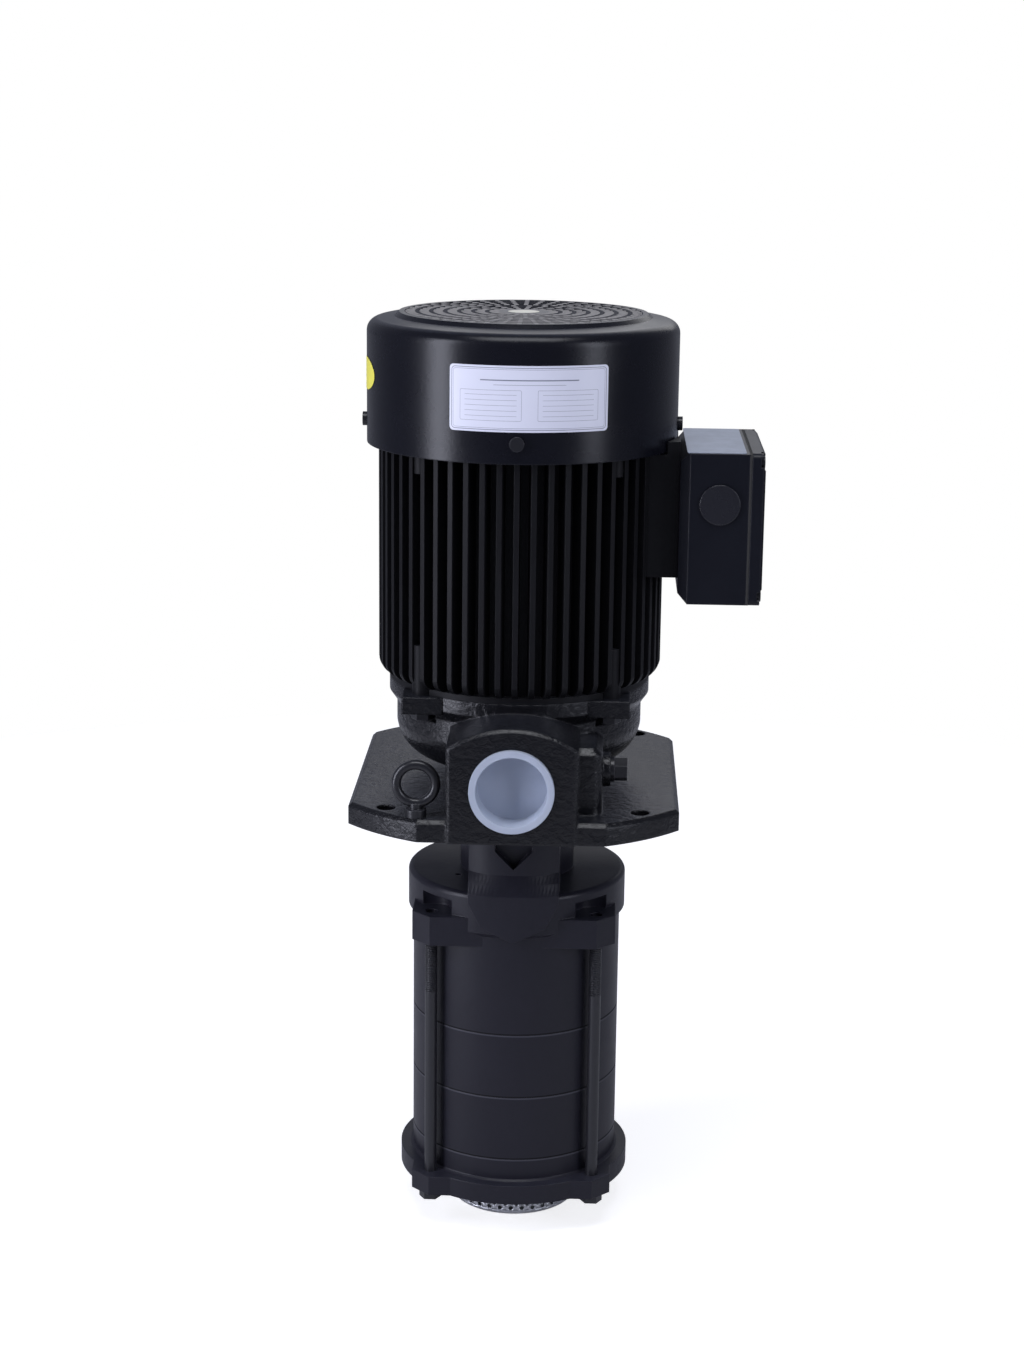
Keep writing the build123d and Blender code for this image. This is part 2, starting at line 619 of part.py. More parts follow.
def column_gasket():
    """Flat gasket between the bracket and the pump column."""
    sheet = slab(column_plan(), -GASKET_THICK, 0)
    holes = [rod(COLUMN_SPIGOT_RADIUS + GAP, -GASKET_THICK, 0), slab(passage_outline(), -GASKET_THICK, 0)]
    return sheet - holes - column_bolt_places(COLUMN_SCREW + GAP, -GASKET_THICK, 0)


def pump_column():
    """Neck, discharge riser and top chamber in one casting."""
    top = -GASKET_THICK
    cavity_top = -CHAMBER_TOP - CHAMBER_ROOF
    bottom = FLOORS[-1]
    neck = rod(NECK_RADIUS, cavity_top, top)
    spigot = rod(COLUMN_SPIGOT_RADIUS - GAP, top, COLUMN_SPIGOT_HEIGHT)
    bow = CHAMBER_EDGE * (1 - sqrt(0.5))
    rim = CHAMBER_RIM_RADIUS
    chamber = turned((0, bottom), (SHELL_RADIUS, bottom), (SHELL_RADIUS, -CHAMBER_RIM_DEPTH - CHAMBER_RIM_STEP),
                     (rim, -CHAMBER_RIM_DEPTH), (rim, -CHAMBER_TOP - CHAMBER_EDGE),
                     (rim - bow, -CHAMBER_TOP - bow, "arc"),
                     (rim - CHAMBER_EDGE, -CHAMBER_TOP), (0, -CHAMBER_TOP))
    shield = Polyline((-RISER_HALF, 0), (-RISER_HALF, -RISER_SIDE_END), (-RISER_TIP_HALF, -RISER_TIP_SIDE),
                      (0, -RISER_TIP), (RISER_TIP_HALF, -RISER_TIP_SIDE), (RISER_HALF, -RISER_SIDE_END),
                      (RISER_HALF, 0), close=True)
    front_view = extrude(Plane.XZ * make_face(shield), RISER_FRONT_Y)
    riser = slab(riser_outline(), -RISER_TIP, top) & front_view
    square = slab(square_outline(), -SQUARE_BOTTOM, -SQUARE_TOP)
    body = neck + spigot + chamber + riser + square
    notch = Polyline((-NOTCH_HALF, top), (-NOTCH_HALF, -NOTCH_SIDE), (0, -NOTCH_TIP),
                     (NOTCH_HALF, -NOTCH_SIDE), (NOTCH_HALF, top), close=True)
    notch_cut = Pos(0, -RISER_FRONT_Y + NOTCH_DEPTH, 0) * extrude(Plane.XZ * make_face(notch), NOTCH_DEPTH)
    rest = FLOORS[-1] + STAGE_PITCH - WEB_THICK
    narrow = SHELL_BORE - LEDGE
    hollow = turned((0, bottom), (SHELL_BORE, bottom), (SHELL_BORE, rest), (narrow, rest),
                    (narrow, cavity_top), (0, cavity_top))
    bush, seat = BUSH_RADIUS + SLIP, SEAT_RING_RADIUS + SLIP
    shaft_room = turned((0, cavity_top), (bush, cavity_top), (bush, SEAT_RING_BOTTOM), (seat, SEAT_RING_BOTTOM),
                        (seat, COLUMN_SPIGOT_HEIGHT), (0, COLUMN_SPIGOT_HEIGHT))
    cuts = [
        notch_cut,
        hollow,
        shaft_room,
        slab(passage_outline(), cavity_top, top),
        *corners(rod(TIE_BOLT / 2 + SLIP, -SQUARE_BOTTOM, -SQUARE_TOP, TIE_HALF, TIE_HALF)),
        *corners(rod(CHAMBER_POCKET_RADIUS, -SQUARE_TOP, -CHAMBER_POCKET_DEPTH, TIE_HALF, TIE_HALF)),
        *column_bolt_places(COLUMN_SCREW + SLIP, -COLUMN_SCREW_LENGTH - COLUMN_SCREW_SPARE, top),
        rod(DRAIN_RADIUS, -CHAMBER_TOP - DRAIN_DEPTH, -CHAMBER_TOP, DRAIN_X, DRAIN_Y),
    ]
    return body - cuts


def column_bolts():
    """Four socket screws that hold the column under the bracket."""
    place = COLUMN_BOLT_PLACE
    top = FLANGE_THICK + COLUMN_SCREW_HEAD_HEIGHT
    depth = COLUMN_SCREW_HEAD_HEIGHT / 2
    head = rod(COLUMN_SCREW_HEAD, FLANGE_THICK, top, place, place)
    shank = rod(COLUMN_SCREW, -COLUMN_SCREW_LENGTH, FLANGE_THICK, place, place)
    socket = Pos(place, place, top - depth) * extrude(hexagon(COLUMN_SCREW_SOCKET), depth)
    return corners(head + shank - socket)


def throttle_bush():
    """Bronze bush in the neck that guides the shaft and throttles the leak."""
    return ring(BUSH_RADIUS, SEAL_SEAT_RADIUS + RUNNING_FIT, BUSH_BOTTOM, BUSH_TOP)


# ---- stages
def stage_ring(floor):
    """Shell of one stage, with the web that the next impeller draws through."""
    top = floor + STAGE_PITCH
    web = top - WEB_THICK
    return turned((SHELL_RADIUS, floor), (SHELL_RADIUS, top), (SHELL_BORE - GAP, top),
                  (SHELL_BORE - GAP, top + STAGE_SPIGOT), (EYE_HOLE_RADIUS, top + STAGE_SPIGOT),
                  (EYE_HOLE_RADIUS, web), (SHELL_BORE, web), (SHELL_BORE, floor))


def wear_ring(floor):
    """Bronze ring pressed in the web round the impeller's neck."""
    top = floor + STAGE_SPIGOT
    inner = IMPELLER_NECK_RADIUS + WEAR_GAP
    return ring(EYE_HOLE_RADIUS - SLIP, inner, top - WEAR_RING_HEIGHT, top)


def impeller(base):
    """Closed impeller: eye neck, two shrouds and backward-curved vanes between them."""
    under_back = SHROUD_THICK + VANE_HEIGHT
    back = under_back + SHROUD_THICK
    hub = turned((PUMP_SEAT_RADIUS, 0), (IMPELLER_HUB_RADIUS, 0), (IMPELLER_HUB_RADIUS, under_back),
                 (IMPELLER_RADIUS, under_back), (IMPELLER_RADIUS, back), (IMPELLER_HUB_RADIUS, back),
                 (IMPELLER_HUB_RADIUS, IMPELLER_HUB_TOP), (PUMP_SEAT_RADIUS, IMPELLER_HUB_TOP))
    neck_end = -IMPELLER_NECK_LENGTH
    shroud = turned((IMPELLER_EYE_RADIUS, neck_end), (IMPELLER_NECK_RADIUS, neck_end), (IMPELLER_NECK_RADIUS, 0),
                    (IMPELLER_RADIUS, 0), (IMPELLER_RADIUS, SHROUD_THICK),
                    (IMPELLER_EYE_RADIUS, SHROUD_THICK))
    vane = curved_vane(VANE_ROOT, IMPELLER_RADIUS - VANE_INSET, VANE_SWEEP, VANE_THICK, VANE_HEIGHT)
    vanes = turns(Pos(0, 0, SHROUD_THICK) * vane, VANES)
    return Pos(0, 0, base) * (joined([hub, shroud, *vanes]) - key_room(0, IMPELLER_HUB_TOP))


def key_room(bottom, top):
    half = KEY_SIZE / 2 + SLIP
    return block((0, PUMP_SEAT_RADIUS + KEY_SIZE - KEY_DEPTH + GAP), (-half, half), (bottom, top))


def diffuser(base):
    """Plate above an impeller with vanes that lead the water back to the next eye."""
    plate_bottom = base + DIFFUSER_PLATE_BOTTOM
    plate_top = plate_bottom + DIFFUSER_PLATE_THICK
    floor = base - TURNING_GAP
    web = floor - STAGE_SPIGOT + STAGE_PITCH - WEB_THICK
    land = PUMP_SEAT_RADIUS + SLEEVE_WALL + WEAR_GAP
    plate = ring(DIFFUSER_PLATE_RADIUS, max(land, IMPELLER_HUB_RADIUS + WEAR_GAP), plate_bottom, plate_top)
    reach = SHELL_BORE - DIFFUSER_FIT
    vane = curved_vane(DIFFUSER_VANE_ROOT, reach, DIFFUSER_VANE_SWEEP, DIFFUSER_VANE_THICK, web - plate_bottom)
    foot_reach = (IMPELLER_RADIUS + TURNING_GAP, reach)
    foot = block(foot_reach, (-DIFFUSER_VANE_THICK / 2, DIFFUSER_VANE_THICK / 2), (floor, web))
    vanes = turns(Pos(0, 0, plate_bottom) * vane, DIFFUSER_VANES)
    feet = turns(foot, DIFFUSER_VANES, -DIFFUSER_VANE_SWEEP)
    return joined([plate, *vanes, *feet])


def spacer_sleeve(base):
    """Sleeve on the shaft between two impeller hubs."""
    low, high = base + IMPELLER_HUB_TOP, base + STAGE_PITCH
    sleeve = ring(PUMP_SEAT_RADIUS + SLEEVE_WALL, PUMP_SEAT_RADIUS, low, high)
    return sleeve - key_room(low, high)


def impeller_key():
    half = KEY_SIZE / 2
    floor = PUMP_SEAT_RADIUS - KEY_DEPTH
    return block((floor, floor + KEY_SIZE), (-half, half), (LOW_HUB_END, TOP_HUB_END))


def impeller_washer():
    return ring(WASHER_RADIUS, SHAFT_THREAD_RADIUS + GAP, LOW_HUB_END - WASHER_THICK, LOW_HUB_END)


def impeller_nut():
    top = LOW_HUB_END - WASHER_THICK
    nut = slab(hexagon(NUT_HEX), top - NUT_HEIGHT, top)
    return nut - rod(SHAFT_THREAD_RADIUS + SLIP, top - NUT_HEIGHT, top)


# ---- bottom end of the pump
def suction_cover():
    """Bottom cover: band under the last stage, round plate with four lugs, and the tapered inlet."""
    band_bottom = FIRST_FLOOR - SUCTION_BAND_DEPTH
    plate_top = FIRST_FLOOR - SUCTION_PLATE_TOP
    plate, spigot = SUCTION_PLATE_RADIUS, SHELL_BORE - GAP
    top = FIRST_FLOOR + STAGE_SPIGOT
    body = turned((0, SUCTION_BOTTOM), (plate, SUCTION_BOTTOM), (plate, plate_top),
                  (SHELL_RADIUS + BAND_FLARE, plate_top), (SHELL_RADIUS, band_bottom), (SHELL_RADIUS, FIRST_FLOOR),
                  (spigot, FIRST_FLOOR), (spigot, top), (0, top))
    lugs = slab(square_outline(), SUCTION_BOTTOM, plate_top)
    inlet = turned((0, SUCTION_BOTTOM), (SUCTION_MOUTH_RADIUS, SUCTION_BOTTOM),
                   (EYE_HOLE_RADIUS, FIRST_FLOOR - IMPELLER_NECK_LENGTH),
                   (EYE_HOLE_RADIUS, top), (0, top))
    holes = corners(rod(TIE_BOLT / 2 + GAP, SUCTION_BOTTOM, plate_top, TIE_HALF, TIE_HALF))
    seat_top = SUCTION_BOTTOM + STRAINER_SCREW_LENGTH
    seats = turns(rod(STRAINER_SCREW + SLIP, SUCTION_BOTTOM, seat_top, STRAINER_SCREW_RADIUS, 0), 3, 90)
    return body + lugs - inlet - holes - seats


def strainer():
    """Perforated cup with a flange, of stainless sheet."""
    bottom = SUCTION_BOTTOM - STRAINER_HEIGHT
    floor = bottom + STRAINER_SHEET
    flange = SUCTION_BOTTOM - STRAINER_SHEET
    inner = STRAINER_RADIUS - STRAINER_SHEET
    cup = turned((0, bottom), (STRAINER_RADIUS, bottom), (STRAINER_RADIUS, flange),
                 (STRAINER_FLANGE_RADIUS, flange), (STRAINER_FLANGE_RADIUS, SUCTION_BOTTOM),
                 (inner, SUCTION_BOTTOM), (inner, floor), (0, floor))
    diamond = Rot(0, 45, 0) * Box(STRAINER_HOLE, 4 * STRAINER_SHEET, STRAINER_HOLE)
    cutter = Pos(0, -STRAINER_RADIUS, 0) * diamond
    holes = []
    for row in range(STRAINER_ROWS):
        height = bottom + STRAINER_FIRST_ROW + STRAINER_PITCH * row
        shift = 180 / STRAINER_COLUMNS * (row % 2)
        holes += turns(Pos(0, 0, height) * cutter, STRAINER_COLUMNS, shift)
    screw_hole = rod(STRAINER_SCREW + GAP, flange, SUCTION_BOTTOM, STRAINER_SCREW_RADIUS, 0)
    screw_holes = turns(screw_hole, 3, 90)
    return cup - holes - screw_holes


def strainer_screws():
    top = SUCTION_BOTTOM - STRAINER_SHEET
    head = rod(STRAINER_SCREW_HEAD, top - STRAINER_SCREW_HEAD_HEIGHT, top, STRAINER_SCREW_RADIUS, 0)
    shank = rod(STRAINER_SCREW, top, top + STRAINER_SCREW_LENGTH, STRAINER_SCREW_RADIUS, 0)
    return turns(head + shank, 3, 90)


def tie_bolts():
    """Four long bolts from under the suction cover up into the column's square flange."""
    shank = rod(TIE_BOLT / 2, SUCTION_BOTTOM, -SQUARE_TOP - TIE_BOLT_SHY, TIE_HALF, TIE_HALF)
    head = Pos(TIE_HALF, TIE_HALF, SUCTION_BOTTOM - TIE_HEX_HEIGHT) * extrude(hexagon(TIE_HEX), TIE_HEX_HEIGHT)
    return corners(head + shank)


# ---- shaft and what turns with it
def main_shaft():
    """One shaft from the fan to the lowest impeller."""
    upper = UPPER_BEARING_BOTTOM
    lower = LOWER_BEARING_BOTTOM + LOWER_BEARING_WIDTH
    lower_seat = LOWER_BEARING_BOTTOM - LOWER_SEAT_LEAD
    thread_top = LOW_HUB_END + THREAD_RELIEF
    chamfer_size = SHAFT_END_CHAMFER
    clip_low = FAN_TOP + CLIP_LIFT
    groove = FAN_SEAT_RADIUS - CLIP_GROOVE
    shaft = turned((0, SHAFT_BOTTOM), (SHAFT_THREAD_RADIUS - chamfer_size, SHAFT_BOTTOM),
                   (SHAFT_THREAD_RADIUS, SHAFT_BOTTOM + chamfer_size), (SHAFT_THREAD_RADIUS, thread_top),
                   (PUMP_SEAT_RADIUS, thread_top), (PUMP_SEAT_RADIUS, TOP_HUB_END),
                   (SEAL_SEAT_RADIUS, TOP_HUB_END), (SEAL_SEAT_RADIUS, lower_seat),
                   (LOWER_SEAT_RADIUS, lower_seat), (LOWER_SEAT_RADIUS, lower),
                   (LOWER_SHOULDER_RADIUS, lower), (LOWER_SHOULDER_RADIUS, ROTOR_SEAT_BOTTOM),
                   (ROTOR_SEAT_RADIUS, ROTOR_SEAT_BOTTOM), (ROTOR_SEAT_RADIUS, UPPER_SHOULDER_BOTTOM),
                   (UPPER_SHOULDER_RADIUS, UPPER_SHOULDER_BOTTOM), (UPPER_SHOULDER_RADIUS, upper),
                   (UPPER_SEAT_RADIUS, upper), (UPPER_SEAT_RADIUS, FAN_SEAT_BOTTOM),
                   (FAN_SEAT_RADIUS, FAN_SEAT_BOTTOM), (FAN_SEAT_RADIUS, clip_low), (groove, clip_low),
                   (groove, clip_low + CLIP_THICK), (FAN_SEAT_RADIUS, clip_low + CLIP_THICK),
                   (FAN_SEAT_RADIUS, SHAFT_TOP - chamfer_size), (FAN_SEAT_RADIUS - chamfer_size, SHAFT_TOP),
                   (0, SHAFT_TOP))
    half = KEY_SIZE / 2 + SLIP
    floor = PUMP_SEAT_RADIUS - KEY_DEPTH
    keyway = block((floor, floor + KEY_SIZE), (-half, half), (LOW_HUB_END, TOP_HUB_END))
    return shaft - keyway


def rotor_core():
    return ring(STATOR_BORE - AIR_GAP, ROTOR_SEAT_RADIUS, STACK_BOTTOM, STACK_TOP)


def rotor_end_rings():
    outer = STATOR_BORE - AIR_GAP
    return [ring(outer, END_RING_INNER, STACK_TOP, STACK_TOP + END_RING_HEIGHT),
            ring(outer, END_RING_INNER, STACK_BOTTOM - END_RING_HEIGHT, STACK_BOTTOM)]


def cooling_fan():
    """Radial fan that works in both directions."""
    hub = turned((FAN_SEAT_RADIUS, FAN_BOTTOM), (FAN_DISC_RADIUS, FAN_BOTTOM),
                 (FAN_DISC_RADIUS, FAN_BOTTOM + FAN_DISC_THICK), (FAN_HUB_RADIUS, FAN_BOTTOM + FAN_DISC_THICK),
                 (FAN_HUB_RADIUS, FAN_TOP), (FAN_SEAT_RADIUS, FAN_TOP))
    half = FAN_BLADE_THICK / 2
    root = (FAN_SEAT_RADIUS + FAN_HUB_RADIUS) / 2
    profile = Polyline((root, FAN_BOTTOM), (FAN_RADIUS, FAN_BOTTOM), (FAN_RADIUS, FAN_TOP - FAN_TIP_DROP),
                       (FAN_RADIUS - FAN_TIP_CUT, FAN_TOP), (root, FAN_TOP), close=True)
    blade = Pos(0, half, 0) * extrude(Plane.XZ * make_face(profile), FAN_BLADE_THICK)
    return joined([hub, *turns(blade, FAN_BLADES)])


def fan_clip():
    """Retaining ring above the fan hub, with its gap."""
    low = FAN_TOP + CLIP_LIFT
    clip = ring(CLIP_RADIUS, FAN_SEAT_RADIUS - CLIP_GROOVE, low, low + CLIP_THICK)
    return clip - block((0, 2 * CLIP_RADIUS), (-CLIP_MOUTH / 2, CLIP_MOUTH / 2), (low, low + CLIP_THICK))


def bearing_rings(bore, outer, bottom, width):
    """Outer ring with both shields, and inner ring, of a shielded ball bearing."""
    top = bottom + width
    race_in = outer - BEARING_RACE
    race_out = bore + BEARING_RACE
    eye = race_out + BEARING_SHIELD_GAP
    outer_ring = turned((outer, bottom), (outer, top), (eye, top), (eye, top - BEARING_SHIELD),
                        (race_in, top - BEARING_SHIELD), (race_in, bottom + BEARING_SHIELD),
                        (eye, bottom + BEARING_SHIELD), (eye, bottom))
    return outer_ring, ring(race_out, bore, bottom, top)


def preload_spring():
    """Wave washer under the upper bearing, drawn flat."""
    return ring(UPPER_BEARING_RADIUS - SPRING_GAP, UPPER_BEARING_RADIUS - BEARING_RACE,
                UPPER_BEARING_BOTTOM - SPRING_THICK, UPPER_BEARING_BOTTOM)


def seal_seat():
    bottom = SEAT_RING_BOTTOM
    return ring(SEAT_RING_RADIUS, SEAL_SEAT_RADIUS + TURNING_GAP, bottom, SEAL_FACE)


def seal_head():
    """Turning half of the shaft seal."""
    low = SEAL_FACE + FACE_FILM
    high = SEAL_FACE + SEAL_HEAD_HEIGHT
    nose = low + SEAL_NOSE_HEIGHT
    return turned((SEAL_SEAT_RADIUS, low), (SEAL_NOSE_RADIUS, low), (SEAL_NOSE_RADIUS, nose),
                  (SEAL_HEAD_RADIUS, nose), (SEAL_HEAD_RADIUS, high), (SEAL_SEAT_RADIUS, high))


def slinger():
    """Rubber disc that throws leakage off the shaft below the bearing."""
    low, high = SLINGER_BOTTOM, SLINGER_BOTTOM + SLINGER_THICK
    hub = SEAL_SEAT_RADIUS + SLINGER_HUB
    slope = (SLINGER_THICK - SLINGER_LIP) / 2
    return turned((SEAL_SEAT_RADIUS, low), (hub, low), (SLINGER_RADIUS, low + slope),
                  (SLINGER_RADIUS, high - slope), (hub, high), (SEAL_SEAT_RADIUS, high))


# ---- motor
def motor_frame():
    """Finned frame with the terminal-box pad and bolt bosses."""
    half_root, half_tip = FIN_ROOT_THICK / 2, FIN_TIP_THICK / 2
    root = FRAME_SKIN_RADIUS - FIN_SINK
    tip = FIN_RADIUS
    fin = Polygon((root, -half_root), (tip, -half_tip), (tip, half_tip), (root, half_root), align=None)
    plan = Sketch() + [Circle(FRAME_SKIN_RADIUS), *turns(fin, FINS, 180 / FINS)]
    finned = slab(plan, FRAME_FOOT_TOP, FRAME_TOP)
    end_low, end_high = FRAME_FOOT_TOP, FRAME_FOOT_TOP + FIN_END_HEIGHT
    bow = 1 - sqrt(0.5)
    round_end = turned((tip, end_high), (tip - FIN_END_ROUND * bow, end_low + FIN_END_HEIGHT * bow, "arc"),
                       (tip - FIN_END_ROUND, end_low), (tip + FIN_SINK, end_low), (tip + FIN_SINK, end_high))
    foot = rod(SHOULDER_RADIUS, BRACKET_TOP, FRAME_FOOT_TOP)
    place = FRAME_BOLT_PLACE
    low_boss = rod(BOSS_RADIUS, BRACKET_TOP, LOW_BOSS_TOP, place, place)
    high_boss = rod(BOSS_RADIUS, HIGH_BOSS_BOTTOM, FRAME_TOP, place, place)
    pad = block((FRAME_BORE, BOX_INNER_X), (-PAD_HALF_Y, PAD_HALF_Y), (PAD_BOTTOM, PAD_TOP))
    horn = block((FIN_RADIUS, BOX_INNER_X), (PAD_HORN_Y, PAD_HALF_Y), (PAD_TOP, PAD_HORN_TOP))
    horn = horn - rod(COVER_RADIUS + BOX_GAP, PAD_TOP, PAD_HORN_TOP)
    horns = [horn, mirror(horn, Plane.XZ)]
    body = joined([finned - round_end, foot, *corners(low_boss), *corners(high_boss), pad, *horns])
    frame_bolt_top = BRACKET_TOP - LUG_HEIGHT + FRAME_BOLT_LENGTH
    screw_bottom = FRAME_TOP - SMALL_SCREW_LENGTH
    cuts = [
        rod(FRAME_BORE, BRACKET_TOP, FRAME_TOP),
        along_x(WIRE_HOLE_RADIUS, FRAME_BORE / 2, BOX_INNER_X, 0, WIRE_HOLE_Z),
        *corners(rod(TIE_BOLT / 2 + SLIP, BRACKET_TOP, frame_bolt_top + FRAME_BOLT_SPARE, place, place)),
        *corners(rod(SMALL_SCREW + SLIP, screw_bottom - SMALL_SCREW_SPARE, FRAME_TOP, place, place)),
        *box_screw_places(SMALL_SCREW + SLIP, BOX_INNER_X - SMALL_SCREW_LENGTH - SMALL_SCREW_SPARE, BOX_INNER_X),
    ]
    return body - cuts


def frame_bolts():
    """Hexagon bolts from under the bracket lugs into the frame."""
    place = FRAME_BOLT_PLACE
    low = BRACKET_TOP - LUG_HEIGHT
    head = Pos(place, place, low - FRAME_BOLT_HEAD) * extrude(hexagon(TIE_HEX), FRAME_BOLT_HEAD)
    return corners(head + rod(TIE_BOLT / 2, low, low + FRAME_BOLT_LENGTH, place, place))


def stator_core():
    return ring(FRAME_BORE - SLIP, STATOR_BORE, STACK_BOTTOM, STACK_TOP)


def stator_windings():
    return [ring(WINDING_OUTER, WINDING_INNER, STACK_TOP, STACK_TOP + WINDING_HEIGHT),
            ring(WINDING_OUTER, WINDING_INNER, STACK_BOTTOM - WINDING_HEIGHT, STACK_BOTTOM)]


def end_shield():
    """Upper end shield with the bearing housing and four lugs for the fan cover."""
    top = FRAME_TOP + SHIELD_THICK
    housing_low = UPPER_BEARING_BOTTOM - SPRING_THICK - HOUSING_LIP
    bore = UPPER_BEARING_RADIUS + SLIP
    spigot = FRAME_BORE - GAP
    eye = UPPER_SHOULDER_RADIUS + TURNING_GAP
    body = turned((eye, housing_low), (bore + HOUSING_WALL, housing_low),
                  (bore + HOUSING_WALL, FRAME_TOP), (spigot - SPIGOT_WALL, FRAME_TOP),
                  (spigot - SPIGOT_WALL, FRAME_TOP - SPIGOT_HEIGHT), (spigot, FRAME_TOP - SPIGOT_HEIGHT),
                  (spigot, FRAME_TOP), (FRAME_SKIN_RADIUS, FRAME_TOP), (FRAME_SKIN_RADIUS, top), (bore, top),
                  (bore, housing_low + HOUSING_LIP), (eye, housing_low + HOUSING_LIP))
    lug_reach = sqrt((COVER_RADIUS - COVER_SHEET - GAP) ** 2 - (COVER_LUG_WIDTH / 2) ** 2)
    lug_root = FRAME_BORE - GAP - SPIGOT_WALL / 2
    lug = block((lug_root, lug_reach), (-COVER_LUG_WIDTH / 2, COVER_LUG_WIDTH / 2),
                (FRAME_TOP, FRAME_TOP + COVER_LUG_HEIGHT))
    place = FRAME_BOLT_PLACE
    ear = rod(BOSS_RADIUS, FRAME_TOP, top, place, place)
    tapped = along_x(COVER_SCREW / 2 + SLIP, COVER_RADIUS - COVER_SCREW_LENGTH - SMALL_SCREW_SPARE, lug_reach,
                     0, COVER_SCREW_Z)
    holes = corners(rod(SMALL_SCREW + GAP, FRAME_TOP, top, place, place))
    return joined([body, *turns(lug, 4), *corners(ear)]) - turns(tapped, 4) - holes


def shield_screws():
    """Four screws that hold the end shield on the frame."""
    place = FRAME_BOLT_PLACE
    top = FRAME_TOP + SHIELD_THICK
    head = rod(SMALL_SCREW_HEAD, top, top + SMALL_SCREW_HEAD_HEIGHT, place, place)
    return corners(head + rod(SMALL_SCREW, FRAME_TOP - SMALL_SCREW_LENGTH, top, place, place))


def fan_cover():
    """Pressed cover: a wall, a shallow shoulder and a raised disc with rings of slots."""
    outer, sheet = COVER_RADIUS, COVER_SHEET
    step = COVER_TOP - DISC_STEP
    edge = step - COVER_RIM_DROP
    bow = COVER_EDGE * (1 - sqrt(0.5))
    knee = (outer - bow, edge - bow, "arc")
    shell = turned((outer - sheet, COVER_BOTTOM), (outer, COVER_BOTTOM), (outer, edge - COVER_EDGE), knee,
                   (outer - COVER_EDGE, edge), (DISC_RADIUS + DISC_SLOPE, step),
                   (DISC_RADIUS - DISC_SLOPE, COVER_TOP), (0, COVER_TOP), (0, COVER_TOP - sheet),
                   (DISC_RADIUS - DISC_SLOPE - sheet / 2, COVER_TOP - sheet),
                   (DISC_RADIUS + DISC_SLOPE - sheet / 2, step - sheet), (outer - COVER_EDGE, edge - sheet),
                   (outer - bow - sheet * sqrt(0.5), edge - bow - sheet * sqrt(0.5), "arc"),
                   (outer - sheet, edge - COVER_EDGE))
    slots = []
    for row in range(RING_COUNT):
        near = GRILLE_FIRST_RADIUS + GRILLE_PITCH * row
        far = near + GRILLE_SLOT_WIDTH
        webs = WEB_COUNT if near > GRILLE_HALVING_RADIUS else WEB_COUNT // 2
        half_turn = pi / webs
        half_near = near * sin(half_turn) - GRILLE_WEB_WIDTH / 2
        half_far = far * sin(half_turn) - GRILLE_WEB_WIDTH / 2
        slot = Polygon((near, -half_near), (far, -half_far), (far, half_far), (near, half_near), align=None)
        slots += turns(slot, webs)
    grille = extrude(Pos(0, 0, COVER_TOP - 2 * sheet) * (Sketch() + slots), 3 * sheet)
    holes = turns(along_x(COVER_SCREW / 2 + GAP, outer - 2 * sheet, outer + sheet, 0, COVER_SCREW_Z), 4)
    return shell - grille - holes


def cover_screws():
    """Pan-head screws round the foot of the fan cover."""
    head = along_x(SMALL_SCREW_HEAD, COVER_RADIUS, COVER_RADIUS + SMALL_SCREW_HEAD_HEIGHT, 0, COVER_SCREW_Z)
    shank = along_x(COVER_SCREW / 2, COVER_RADIUS - COVER_SCREW_LENGTH, COVER_RADIUS, 0, COVER_SCREW_Z)
    return turns(head + shank, 4)


# ---- terminal box
def box_screw_places(radius, start, end):
    heights = (PAD_BOTTOM + BOX_SCREW_BELOW, PAD_TOP - BOX_SCREW_BELOW)
    return [along_x(radius, start, end, y, z) for y in (-BOX_SCREW_Y, BOX_SCREW_Y) for z in heights]


def terminal_box():
    """Cast box, open towards +X, with a cable entry on the discharge side."""
    shell = block((BOX_INNER_X, BOX_OUTER_X), (-BOX_HALF_Y, BOX_HALF_Y), (BOX_BOTTOM, BOX_TOP))
    shell = chamfer(shell.faces().sort_by(Axis.X)[0].edges(), BOX_CHAMFER)
    room = block((BOX_INNER_X + BOX_WALL, BOX_OUTER_X), (-BOX_HALF_Y + BOX_WALL, BOX_HALF_Y - BOX_WALL),
                 (BOX_BOTTOM + BOX_WALL, BOX_TOP - BOX_WALL))
    room = chamfer(room.faces().sort_by(Axis.X)[0].edges(), BOX_CHAMFER - BOX_WALL / 2)
    posts = [along_x(BOX_POST_RADIUS, BOX_INNER_X + BOX_WALL, BOX_OUTER_X, y, z) for y, z in lid_screw_places()]
    cuts = [
        along_x(WIRE_HOLE_RADIUS, BOX_INNER_X, BOX_INNER_X + BOX_WALL, 0, WIRE_HOLE_Z),
        along_y(ENTRY_HOLE_RADIUS + SLIP, -BOX_HALF_Y, -BOX_HALF_Y + BOX_WALL, ENTRY_X, ENTRY_Z),
        *box_screw_places(SMALL_SCREW + GAP, BOX_INNER_X, BOX_INNER_X + BOX_WALL),
        *[along_x(LID_SCREW + SLIP, BOX_OUTER_X - LID_SCREW_LENGTH - LID_SCREW_SPARE, BOX_OUTER_X, y, z)
          for y, z in lid_screw_places()],
    ]
    return joined([shell - room, *[post & shell for post in posts]]) - cuts


def lid_screw_places():
    side = BOX_HALF_Y - LID_SCREW_INSET
    return [(y, z) for y in (-side, side) for z in (BOX_BOTTOM + LID_SCREW_INSET, BOX_TOP - LID_SCREW_INSET)]


